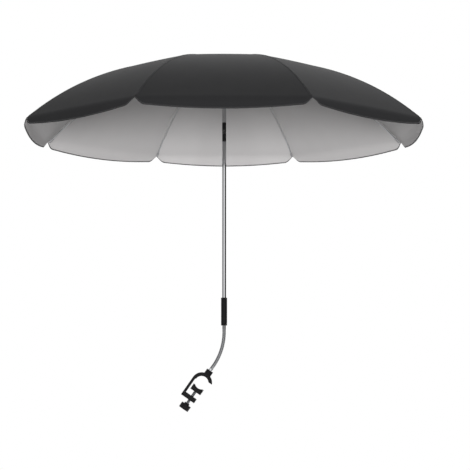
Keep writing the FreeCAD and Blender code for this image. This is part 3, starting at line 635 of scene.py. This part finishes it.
def make_panel(number, look):
    """One panel: the cloth outside, the lining inside and a rim that closes them."""
    vertices, places, faces, slots = [], [], [], []
    width = len(ACROSS)
    for depth in (0.0, look.thickness):
        for along in ALONG:
            for across in ACROSS:
                reach = CLOTH_EYE + (hem_reach(across) - CLOTH_EYE) * along
                vertices.append(cloth_point(number, across, reach, depth))
                places.append((across * reach * math.sin(HALF_SECTOR), reach))
    last_row = len(ALONG) - 1
    layer = width * len(ALONG)
    for row in range(last_row):
        for column in range(width - 1):
            a = row * width + column
            faces.append((a, a + width, a + width + 1, a + 1))
            slots.append(0)
            faces.append((layer + a, layer + a + 1, layer + a + width + 1, layer + a + width))
            slots.append(1)
    rim = [row * width for row in range(len(ALONG))]
    rim += [last_row * width + column for column in range(1, width)]
    rim += [row * width + width - 1 for row in range(last_row - 1, -1, -1)]
    rim += [column for column in range(width - 2, 0, -1)]
    for first, second in zip(rim, rim[1:] + rim[:1]):
        faces.append((first, first + layer, second + layer, second))
        slots.append(0)
    piece = mesh_piece(f"canopy_cloth_{number}", vertices, faces)
    piece.data.materials.append(finish("charcoal_pongee"))
    piece.data.materials.append(finish("silver_coated_lining"))
    piece.data.polygons.foreach_set("material_index", slots)
    write_uv(piece, places)
    outward(piece)
    piece.data.set_sharp_from_angle(angle=CLOTH_SHARP)
    return piece


def flat_cut():
    """Width, length and area of one panel laid flat."""
    steps = 200
    rows = []
    length = 0.0
    end = hem_reach(0)
    for step in range(steps):
        low, high = end * step / steps, end * (step + 1) / steps
        rise = profile(high)[0] - profile(low)[0]
        run = math.hypot((high - low) * math.cos(HALF_SECTOR), rise)
        length += run
        rows.append((min((low + high) / 2, CANOPY_RADIUS) * 2 * math.sin(HALF_SECTOR), run))
    width = CANOPY_RADIUS * 2 * math.sin(HALF_SECTOR)
    return width, length, sum(row_width * run for row_width, run in rows)


def tube_faces(rows, loop):
    """Faces of a tube whose points come in rows, each a loop, with both ends closed."""
    faces = []
    for row in range(rows - 1):
        for turn in range(loop):
            a, b = row * loop + turn, row * loop + (turn + 1) % loop
            faces.append((a, b, b + loop, a + loop))
    tail = (rows - 1) * loop
    faces.append(tuple(range(loop)))
    faces.append(tuple(tail + turn for turn in reversed(range(loop))))
    return faces


def make_binding(number, look):
    """Tape folded over the hem from one rib to the next."""
    lift, inset = TAPE_LIFT, look.binding_width
    tuck = lift * TAPE_TUCK_SHARE
    section = (
        (-inset, -tuck), (-inset + lift, -lift), (-lift, -lift), (lift, look.thickness / 2),
        (-lift, look.thickness + lift), (-inset + lift, look.thickness + lift),
        (-inset, look.thickness + tuck),
    )
    vertices, places = [], []
    run = 0.0
    last = None
    for across in ACROSS:
        end = hem_reach(across)
        here = cloth_point(number, across, end)
        run += (here - last).length if last else 0.0
        last = here
        for turn, (offset, depth) in enumerate(section):
            vertices.append(cloth_point(number, across, end + offset, depth))
            places.append((run, turn * TAPE_UV_STEP))
    loop = len(section)
    # The tape shows outside and round the edge; past that, inside, it is coated as the lining is, in the
    # lining's darker copy with painted shade
    coated = loop // 2 + 1
    slots = [int(turn >= coated) for turn in range(loop)] * (len(ACROSS) - 1) + [0, 0]
    piece = mesh_piece(f"hem_binding_{number}", vertices, tube_faces(len(ACROSS), loop))
    piece.data.materials.append(finish("grosgrain_binding"))
    piece.data.materials.append(finish("lining_painted_shade"))
    piece.data.polygons.foreach_set("material_index", slots)
    write_uv(piece, places)
    return outward(piece)


def rib_point(number, reach, side, depth):
    """A point on the cloth near a rib, to one side of it, at a depth under the outside."""
    if side == 0:
        return (cloth_point(number, -1, reach, depth) + cloth_point(before(number), 1, reach, depth)) / 2
    panel = number if side > 0 else before(number)
    edge = -1 if side > 0 else 1
    across = edge + side / (reach * math.sin(HALF_SECTOR))
    return cloth_point(panel, max(-1, min(1, across)), reach, depth)


def joined(name, pieces):
    """Several pieces made into one."""
    work = bmesh.new()
    for piece in pieces:
        work.from_mesh(piece.data)
    kept = pieces[0]
    work.to_mesh(kept.data)
    work.free()
    for piece in pieces[1:]:
        bpy.data.objects.remove(piece)
    kept.name = name
    kept.data.name = name
    return kept


def edge_strips(name, number, reaches, section_at, material):
    """Half strips along both ribs of a panel, in one piece."""
    edges = [
        strip_along_rib(f"{name}_first", number, 1, reaches, section_at, material),
        strip_along_rib(f"{name}_second", after(number), -1, reaches, section_at, material),
    ]
    return fold_with_ribs(joined(name, edges), number)


def strip_along_rib(name, number, way, reaches, section_at, material):
    """A strip on one side of a rib; its section at a reach is pairs of side offset and depth."""
    vertices, places = [], []
    for reach in reaches:
        section = section_at(reach)
        widest = max(side for side, depth in section)
        narrowing = min(1, STRIP_SHARE * reach * math.sin(HALF_SECTOR) / widest)
        for side, depth in section:
            vertices.append(rib_point(number, reach, way * side * narrowing, depth))
            places.append((way * side, reach))
    piece = mesh_piece(name, vertices, tube_faces(len(reaches), len(section)))
    piece.data.materials.append(finish(material))
    write_uv(piece, places)
    outward(piece)
    piece.data.set_sharp_from_angle(angle=STRIP_SHARP)
    return piece


def stitch_tree():
    """Stitches of one length, at an even pitch along a line."""
    made = bpy.data.node_groups.get("stitch_run")
    if made:
        return made
    tree, given = new_tree(
        "stitch_run",
        [("Pitch", "NodeSocketFloat"), ("Length", "NodeSocketFloat"), ("Thickness", "NodeSocketFloat"),
         ("Material", "NodeSocketMaterial")],
    )
    line = add_node(tree, "GeometryNodeMeshToCurve", {"Mesh": given["Geometry"]})
    spots = add_node(
        tree, "GeometryNodeCurveToPoints", {"Curve": line.outputs["Curve"], "Length": given["Pitch"]},
        mode="LENGTH",
    )
    stitch = add_node(tree, "GeometryNodeMeshUVSphere", {"Segments": 6, "Rings": 4, "Radius": 0.5})
    size = add_node(
        tree, "ShaderNodeCombineXYZ",
        {"X": given["Thickness"], "Y": given["Thickness"], "Z": given["Length"]},
    )
    row = add_node(
        tree, "GeometryNodeInstanceOnPoints",
        {"Points": spots.outputs["Points"], "Instance": stitch.outputs["Mesh"],
         "Rotation": spots.outputs["Rotation"], "Scale": size.outputs["Vector"]},
    )
    real = add_node(tree, "GeometryNodeRealizeInstances", {"Geometry": row.outputs["Instances"]})
    smooth = add_node(tree, "GeometryNodeSetShadeSmooth", {"Geometry": real.outputs["Geometry"]})
    coloured = add_node(
        tree, "GeometryNodeSetMaterial",
        {"Geometry": smooth.outputs["Geometry"], "Material": given["Material"]},
    )
    add_node(tree, "NodeGroupOutput", {"Geometry": coloured.outputs["Geometry"]})
    return tree


def make_stitches(name, lines, look):
    """One piece with every stitch of one or more rows."""
    rows = [
        run_tree(
            path_piece(f"{name}_row{index}", line), stitch_tree(), f"{name}_row{index}",
            pitch=look.stitch_pitch, length=look.stitch_pitch * STITCH_SHARE, thickness=THREAD_WIDTH,
            material=finish("sewing_thread"),
        )
        for index, line in enumerate(lines)
    ]
    return joined(name, rows)


# Eased copies of rigid pieces


def eased(node, finish_name, edge):
    """A rigid piece with its moulded edges rounded, standing in place of its plain solid."""
    source = frame["nodes"][node]
    mesh = source.data.copy()
    mesh.materials.clear()
    piece = put(f"{node}_eased", mesh)
    work = bmesh.new()
    work.from_mesh(mesh)
    bmesh.ops.remove_doubles(work, verts=work.verts, dist=MERGE_DISTANCE)
    bmesh.ops.dissolve_limit(work, angle_limit=FLAT_WITHIN, verts=work.verts, edges=work.edges)
    work.to_mesh(mesh)
    work.free()
    rounding = piece.modifiers.new("edge", "BEVEL")
    rounding.width = edge
    rounding.segments = 2
    rounding.limit_method = "ANGLE"
    rounding.angle_limit = ROUND_FROM
    piece = baked(piece, f"{node}_eased")
    piece.data.polygons.foreach_set("use_smooth", [True] * len(piece.data.polygons))
    piece.data.set_sharp_from_angle(angle=MOULDED_SHARP)
    piece.data.materials.append(finish(finish_name))
    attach(piece, source["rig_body"])
    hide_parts(node)
    return piece


def dress(node, finish_name):
    """A rigid piece whose solid is already its final shape."""
    piece = frame["nodes"][node]
    piece.data.materials.clear()
    piece.data.materials.append(finish(finish_name))
    return piece


# Operators


class PARASOL_OT_canopy(bpy.types.Operator):
    """Sew the canopy's panels and hang them between the ribs"""

    bl_idname = "parasol.canopy"
    bl_label = "Canopy cloth"

    def execute(self, context):
        look = context.scene.parasol_canopy
        width, length, area = flat_cut()
        for number in range(1, RIB_COUNT + 1):
            panel = make_panel(number, look)
            fold_with_ribs(panel, number)
            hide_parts(f"canopy_panel_{number}")
        return {"FINISHED"}


class PARASOL_OT_binding(bpy.types.Operator):
    """Bind the hem with tape and stitch it"""

    bl_idname = "parasol.binding"
    bl_label = "Hem binding"

    def execute(self, context):
        look = context.scene.parasol_canopy
        inset = look.binding_width * HEM_STITCH_SHARE
        for number in range(1, RIB_COUNT + 1):
            line = [
                cloth_point(number, across, hem_reach(across) - inset, -HEM_STITCH_LIFT)
                for across in ACROSS[STITCH_MARGIN:-STITCH_MARGIN]
            ]
            tape = make_binding(number, look)
            stitches = make_stitches(f"hem_stitches_{number}", [line], look)
            for piece in (tape, stitches):
                fold_with_ribs(piece, number)
        return {"FINISHED"}


class PARASOL_OT_seams(bpy.types.Operator):
    """Lay a sewn seam along the outside of each rib"""

    bl_idname = "parasol.seams"
    bl_label = "Rib seams"

    def execute(self, context):
        look = context.scene.parasol_canopy
        half = look.seam_width / 2
        section = (
            (0, -SEAM_LIFT), (half * SEAM_TOP_SHARE, -SEAM_LIFT),
            (half, SEAM_EDGE_DEPTH), (0, SEAM_ROOT_DEPTH),
        )
        reaches = spread(SEAM_START, SEAM_END, SEAM_STEPS)
        side = half * SEAM_STITCH_SHARE
        for number in range(1, RIB_COUNT + 1):
            seam = edge_strips(
                f"rib_seam_{number}", number, reaches, lambda reach: section, "charcoal_pongee"
            )
            lines = [
                [rib_point(rib, reach, way * side, -SEAM_LIFT) for reach in reaches[STITCH_MARGIN:]]
                for rib, way in ((number, 1), (after(number), -1))
            ]
            stitches = fold_with_ribs(make_stitches(f"seam_stitches_{number}", lines, look), number)
        return {"FINISHED"}


class PARASOL_OT_channels(bpy.types.Operator):
    """Sleeve each rib in a channel of the lining"""

    bl_idname = "parasol.channels"
    bl_label = "Rib channels"

    def execute(self, context):
        look = context.scene.parasol_canopy
        edge = look.thickness * CHANNEL_EDGE_SHARE
        deepest = RIB_DEPTH + RIB_RADIUS + CHANNEL_WALL

        def section_at(reach):
            """A soft bulge over the rib that dies away towards the rib's tip."""
            left = min(max((CHANNEL_END - reach) / CHANNEL_FADE, 0), 1)
            fade = left * left * (3 - 2 * left)
            half = look.channel_width / 2 * (CHANNEL_TIP_SHARE + (1 - CHANNEL_TIP_SHARE) * fade)
            bulge = [
                (half * share, edge + (deepest - edge) * fade * math.cos(math.pi / 2 * share) ** 2)
                for share in spread(0, 1, BULGE_STEPS)
            ]
            back = edge * CHANNEL_BACK_DEPTH_SHARE
            return bulge + [(half * CHANNEL_BACK_WIDTH_SHARE, back), (0, back)]

        stretches = (
            ("inner", CHANNEL_START, CLIP_REACH - CLIP_GAP),
            ("outer", CLIP_REACH + CLIP_GAP, CHANNEL_END),
        )
        for number in range(1, RIB_COUNT + 1):
            for part, low, high in stretches:
                # The channels take the lining's darker copy: painted shade for the shadow beside each rib.
                channel = edge_strips(
                    f"rib_channel_{part}_{number}", number, spread(low, high, CHANNEL_STEPS), section_at,
                    "lining_painted_shade",
                )
        return {"FINISHED"}


class PARASOL_OT_pole(bpy.types.Operator):
    """Finish the pole, the tilt joint and the ribs"""

    bl_idname = "parasol.pole"
    bl_label = "Pole and ribs"

    def execute(self, context):
        for node in ("upper_pole", "lower_pole"):
            dress(node, "chromed_tube")
        for node in ("tilt_pin", "runner_catch"):
            dress(node, "zinc_plate")
        edge = context.scene.parasol_fittings.edge
        for node in ("tilt_fork", "tilt_tongue"):
            dress(node, "moulded_nylon")
        for node in ("crown", "runner", "pole_socket", "gooseneck_collar"):
            eased(node, "moulded_nylon", edge)
        dress("top_cap", "moulded_nylon")
        dress("crown_wire", "spring_steel_wire")
        for number in range(1, RIB_COUNT + 1):
            dress(f"rib_{number}", "spring_steel_wire")
            dress(f"stretcher_{number}", "spring_steel_wire")
            fittings = dress(f"rib_fittings_{number}", "zinc_plate")
            fittings.data.materials.append(finish("grey_nylon"))
            for face in fittings.data.polygons:
                reach = (face.center - POLE).to_2d().length
                face.material_index = 1 if reach > TIP_CAP_REACH else 0
        return {"FINISHED"}


def neck_place(run):
    """A point on the gooseneck's centre line."""
    along = Vector((math.sin(NECK_TURN), 0, math.cos(NECK_TURN)))
    foot = along * NECK_FOOT
    if run <= NECK_FOOT_RUN:
        return foot + along * run
    bend_start = foot + along * NECK_FOOT_RUN
    centre = bend_start + Vector((-math.cos(NECK_TURN), 0, math.sin(NECK_TURN))) * NECK_BEND
    lean = NECK_TURN - (run - NECK_FOOT_RUN) / NECK_BEND
    if lean <= 0:
        return centre + Vector((NECK_BEND, 0, -lean * NECK_BEND))
    return centre + Vector((math.cos(lean), 0, -math.sin(lean))) * NECK_BEND


def hose_tree():
    """A hose along a line: rounded ribs, with one plain end."""
    tree, given = new_tree(
        "ribbed_hose",
        [("Ribs", "NodeSocketInt"), ("Crest", "NodeSocketFloat"), ("Valley", "NodeSocketFloat"),
         ("Plain", "NodeSocketFloat"), ("Run", "NodeSocketFloat"), ("Material", "NodeSocketMaterial")],
    )
    line = add_node(tree, "GeometryNodeMeshToCurve", {"Mesh": given["Geometry"]})
    points = add_node(
        tree, "ShaderNodeMath", {0: given["Ribs"], 1: HOSE_POINTS_A_RIB}, operation="MULTIPLY"
    )
    fine = add_node(
        tree, "GeometryNodeResampleCurve", {"Curve": line.outputs["Curve"], "Count": points.outputs["Value"]}
    )
    place = add_node(tree, "GeometryNodeSplineParameter").outputs["Length"]
    past = add_node(tree, "ShaderNodeMath", {0: place, 1: given["Plain"]}, operation="SUBTRACT")
    span = add_node(tree, "ShaderNodeMath", {0: given["Run"], 1: given["Plain"]}, operation="SUBTRACT")
    share = add_node(
        tree, "ShaderNodeMath", {0: past.outputs["Value"], 1: span.outputs["Value"]}, operation="DIVIDE"
    )
    turns = add_node(
        tree, "ShaderNodeMath", {0: share.outputs["Value"], 1: given["Ribs"]}, operation="MULTIPLY"
    )
    half_turn = add_node(
        tree, "ShaderNodeMath", {0: turns.outputs["Value"], 1: math.pi}, operation="MULTIPLY"
    )
    wave = add_node(tree, "ShaderNodeMath", {0: half_turn.outputs["Value"]}, operation="SINE")
    round_wave = add_node(tree, "ShaderNodeMath", {0: wave.outputs["Value"]}, operation="ABSOLUTE")
    full = add_node(
        tree, "ShaderNodeMath", {0: round_wave.outputs["Value"], 1: HOSE_RIB_ROUNDNESS}, operation="POWER"
    )
    plain = add_node(tree, "ShaderNodeMath", {0: place, 1: given["Plain"]}, operation="LESS_THAN")
    crest_share = add_node(
        tree, "ShaderNodeMath", {0: full.outputs["Value"], 1: plain.outputs["Value"]}, operation="MAXIMUM"
    )
    radius = add_node(
        tree, "ShaderNodeMapRange",
        {"Value": crest_share.outputs["Value"], "To Min": given["Valley"], "To Max": given["Crest"]},
    )
    ring = add_node(tree, "GeometryNodeCurvePrimitiveCircle", {"Resolution": 40, "Radius": 0.5})
    hose = add_node(
        tree, "GeometryNodeCurveToMesh",
        {"Curve": fine.outputs["Curve"], "Profile Curve": ring.outputs["Curve"],
         "Scale": radius.outputs["Result"], "Fill Caps": True},
    )
    smooth = add_node(tree, "GeometryNodeSetShadeSmooth", {"Geometry": hose.outputs["Mesh"]})
    real = add_node(tree, "GeometryNodeRealizeInstances", {"Geometry": smooth.outputs["Geometry"]})
    coloured = add_node(
        tree, "GeometryNodeSetMaterial",
        {"Geometry": real.outputs["Geometry"], "Material": given["Material"]},
    )
    add_node(tree, "NodeGroupOutput", {"Geometry": coloured.outputs["Geometry"]})
    return tree


class PARASOL_OT_gooseneck(bpy.types.Operator):
    """Wind the gooseneck's hose between the clamp and the collar"""

    bl_idname = "parasol.gooseneck"
    bl_label = "Gooseneck"

    def execute(self, context):
        fitting = context.scene.parasol_fittings
        tree = hose_tree()
        middle = NECK_RUN / 2
        halves = (
            ("gooseneck_lower", 0.0, middle, "clamp", "gooseneck_mid"),
            ("gooseneck_upper", NECK_RUN, middle, "gooseneck_top", "gooseneck_mid"),
        )
        for node, plain_end, inner_end, outer_body, middle_body in halves:
            line = [neck_place(run) for run in spread(plain_end, inner_end, NECK_POINTS)]
            hose = run_tree(
                path_piece(f"{node}_line", line), tree, f"{node}_hose", ribs=fitting.hose_ribs,
                crest=fitting.hose_crest, valley=fitting.hose_valley, plain=fitting.hose_crest,
                run=abs(inner_end - plain_end), material=finish("satin_nickel_hose"),
            )
            outward(hose)
            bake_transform(hose)
            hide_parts(node)
        eased("gooseneck_ferrule", "chromed_tube", FERRULE_EDGE)
        return {"FINISHED"}


def make_thread(name, start, axis, length, crest, pitch):
    """A screw with a rolled V thread along its whole length."""
    segments, rows_a_turn = 24, 8
    rows = round(length / pitch * rows_a_turn)
    valley = crest - THREAD_DEPTH_SHARE * pitch
    turn = axis.to_track_quat("Z", "Y").to_matrix()
    vertices = []
    for row in range(rows + 1):
        along = length * row / rows
        for segment in range(segments):
            phase = (along / pitch - segment / segments) % 1
            radius = valley + (crest - valley) * min(1, THREAD_STEEPNESS * (1 - abs(2 * phase - 1)))
            angle = 2 * math.pi * segment / segments
            vertices.append(
                start + turn @ Vector((radius * math.cos(angle), radius * math.sin(angle), along))
            )
    piece = outward(mesh_piece(name, vertices, tube_faces(rows + 1, segments)))
    piece.data.set_sharp_from_angle(angle=STRIP_SHARP)
    return piece


class PARASOL_OT_clamp(bpy.types.Operator):
    """Finish the clamp"""

    bl_idname = "parasol.clamp"
    bl_label = "Clamp"

    def execute(self, context):
        edge = context.scene.parasol_fittings.edge
        for node, share in CLAMP_EDGE_SHARES.items():
            eased(node, "moulded_nylon", edge * share)
        for node in ("clamp_seat_pad", "clamp_jaw_pad"):
            eased(node, "moulded_rubber", edge * PAD_EDGE_SHARE)
        dress("clamp_nut", "zinc_plate")
        axis = Vector((math.sin(NECK_TURN), 0, math.cos(NECK_TURN)))
        low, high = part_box("clamp_screw")
        crest = (high.y - low.y) / 2
        length = (high.z - low.z - 2 * crest * axis.x) / axis.z
        screw = make_thread(
            "clamp_screw_thread", (low + high) / 2 - axis * (length / 2), axis, length, crest, SCREW_PITCH
        )
        screw.data.materials.append(finish("zinc_plate"))
        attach(screw, frame["nodes"]["clamp_screw"]["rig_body"])
        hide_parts("clamp_screw")
        return {"FINISHED"}


SENSOR_WIDTH = 36
FLOOR_HALF = 4.0
# Each lamp's name, place, width, height, power in watts and whether reflections show it. The
# front and back lamps stand as high as the pole, whose chrome would mirror them as streaks of
# plain white, so reflections leave those two out.
LAMPS = (
    ("overhead_softbox", (0.3, 1.8, 2.9), 2.0, 2.0, 76.0, True),
    ("front_softbox", (0.0, -5.0, -0.15), 1.8, 0.7, 230.0, False),
    ("back_softbox", (0.0, 2.7, -0.3), 1.4, 0.7, 18.0, False),
    ("left_softbox", (-2.7, 0.4, 1.5), 1.2, 1.2, 7.0, True),
    ("right_softbox", (2.7, 0.4, 1.5), 1.2, 1.2, 16.0, True),
)
LAMP_AIM_SHARE = 0.75
# Cards beside the parasol give its chrome the darker edges that it shows in the photo: each
# one's name, place to the side, near end, far end and tone
CARDS = (("left_card", -1.2, -2.2, 2.2, 0.3), ("right_card", 1.4, -1.6, 4.0, 0.02))
CARD_FOOT = -0.6
CARD_TOP = 1.3


class PARASOL_OT_stage(bpy.types.Operator):
    """Set the floor, the light and the camera"""

    bl_idname = "parasol.stage"
    bl_label = "Stage"

    def execute(self, context):
        scene = context.scene
        look = scene.parasol_stage
        scene.view_settings.view_transform = "Standard"
        make_floor(look)
        make_light(scene)
        for card in CARDS:
            make_card(*card)
        lens = bpy.data.cameras.new("photo_view")
        lens.lens = look.lens
        lens.sensor_width = SENSOR_WIDTH
        camera = put("photo_view", lens)
        camera.location = look.camera_place
        forward = Vector((
            math.sin(look.yaw) * math.cos(look.pitch), math.cos(look.yaw) * math.cos(look.pitch),
            math.sin(look.pitch),
        ))
        camera.rotation_mode = "QUATERNION"
        camera.rotation_quaternion = forward.to_track_quat("-Z", "Y")
        scene.camera = camera
        return {"FINISHED"}


def make_floor(look):
    """A pale floor that shows as plain white to the camera, and keeps a faint shadow."""
    corners = [
        (x * FLOOR_HALF, y * FLOOR_HALF, -look.floor_drop) for x, y in ((-1, -1), (1, -1), (1, 1), (-1, 1))
    ]
    floor = mesh_piece("floor", corners, [(0, 1, 2, 3)], smooth=False)
    material, tree = start_material("pale_floor")
    paint = add_node(tree, "ShaderNodeBsdfDiffuse", {"Color": look.floor_colour})
    white = add_node(tree, "ShaderNodeEmission", {"Color": (1, 1, 1, 1), "Strength": 1.22})
    rays = add_node(tree, "ShaderNodeLightPath").outputs
    seen = add_node(
        tree, "ShaderNodeMath", {0: rays["Is Camera Ray"], 1: rays["Is Glossy Ray"]}, operation="MAXIMUM"
    )
    glow = add_node(tree, "ShaderNodeMath", {0: seen.outputs["Value"], 1: 0.75}, operation="MULTIPLY")
    shown = add_node(
        tree, "ShaderNodeMixShader",
        {0: glow.outputs["Value"], 1: paint.outputs["BSDF"], 2: white.outputs["Emission"]},
    )
    add_node(tree, "ShaderNodeOutputMaterial", {"Surface": shown.outputs["Shader"]})
    floor.data.materials.append(material)
    floor.visible_diffuse = False


def make_card(name, side, near, far, tone):
    """An upright card beside the object that only reflections see."""
    outline = ((near, CARD_FOOT), (far, CARD_FOOT), (far, CARD_TOP), (near, CARD_TOP))
    corners = [(side, along, height) for along, height in outline]
    card = mesh_piece(name, corners, [(0, 1, 2, 3)], smooth=False)
    material, tree = start_material(name)
    glow = add_node(tree, "ShaderNodeEmission", {"Color": (tone, tone, tone, 1)})
    add_node(tree, "ShaderNodeOutputMaterial", {"Surface": glow.outputs["Emission"]})
    card.data.materials.append(material)
    card.visible_camera = False
    card.visible_diffuse = False
    card.visible_shadow = False
    card.visible_transmission = False


def make_light(scene):
    """A white room that is seen and mirrored but lights only faintly, and the lamps."""
    world = bpy.data.worlds.new("studio")
    scene.world = world
    world.use_nodes = True
    tree = world.node_tree
    tree.nodes.clear()
    rays = add_node(tree, "ShaderNodeLightPath").outputs
    seen = add_node(
        tree, "ShaderNodeMath", {0: rays["Is Camera Ray"], 1: rays["Is Glossy Ray"]}, operation="MAXIMUM"
    )
    through = add_node(
        tree, "ShaderNodeMath", {0: seen.outputs["Value"], 1: rays["Is Transmission Ray"]},
        operation="MAXIMUM",
    )
    strength = add_node(
        tree, "ShaderNodeMapRange", {"Value": through.outputs["Value"], "To Min": 0.16, "To Max": 1.0}
    )
    sky = add_node(
        tree, "ShaderNodeBackground", {"Color": (1, 1, 1, 1), "Strength": strength.outputs["Result"]}
    )
    add_node(tree, "ShaderNodeOutputWorld", {"Surface": sky.outputs["Background"]})
    aim = Vector((POLE.x, 0, APEX * LAMP_AIM_SHARE))
    for name, place, width, height, power, mirrored in LAMPS:
        lamp = bpy.data.lights.new(name, "AREA")
        lamp.shape = "RECTANGLE"
        lamp.size = width
        lamp.size_y = height
        lamp.energy = power
        softbox = put(name, lamp)
        softbox.location = place
        softbox.rotation_mode = "QUATERNION"
        softbox.rotation_quaternion = (aim - Vector(place)).to_track_quat("-Z", "Y")
        softbox.visible_camera = False
        softbox.visible_glossy = mirrored


class PARASOL_PT_panel(bpy.types.Panel):
    bl_idname = "PARASOL_PT_panel"
    bl_label = "Pram parasol"
    bl_space_type = "VIEW_3D"
    bl_region_type = "UI"
    bl_category = "Parasol"

    def draw(self, context):
        for held in GROUPS:
            group = getattr(context.scene, held)
            for name in group.bl_rna.properties.keys():
                if name not in ("rna_type", "name"):
                    self.layout.prop(group, name)
        for operator in OPERATORS:
            self.layout.operator(operator.bl_idname)


OPERATORS = (
    PARASOL_OT_canopy,
    PARASOL_OT_binding,
    PARASOL_OT_seams,
    PARASOL_OT_channels,
    PARASOL_OT_pole,
    PARASOL_OT_gooseneck,
    PARASOL_OT_clamp,
    PARASOL_OT_stage,
)
GROUPS = {
    "parasol_canopy": CanopyProperties,
    "parasol_fittings": FittingProperties,
    "parasol_stage": StageProperties,
}


def register():
    for name, group in GROUPS.items():
        bpy.utils.register_class(group)
        setattr(bpy.types.Scene, name, PointerProperty(type=group))
    for made in (*OPERATORS, PARASOL_PT_panel):
        bpy.utils.register_class(made)


def unregister():
    for made in reversed((*OPERATORS, PARASOL_PT_panel)):
        bpy.utils.unregister_class(made)
    for name, group in reversed(GROUPS.items()):
        delattr(bpy.types.Scene, name)
        bpy.utils.unregister_class(group)


def main():
    register()
    bpy.ops.parasol.stage()
    bpy.ops.parasol.pole()
    bpy.ops.parasol.gooseneck()
    bpy.ops.parasol.clamp()
    bpy.ops.parasol.binding()
    bpy.ops.parasol.seams()
    bpy.ops.parasol.channels()
    bpy.ops.parasol.canopy()


if __name__ == "__main__":
    main()
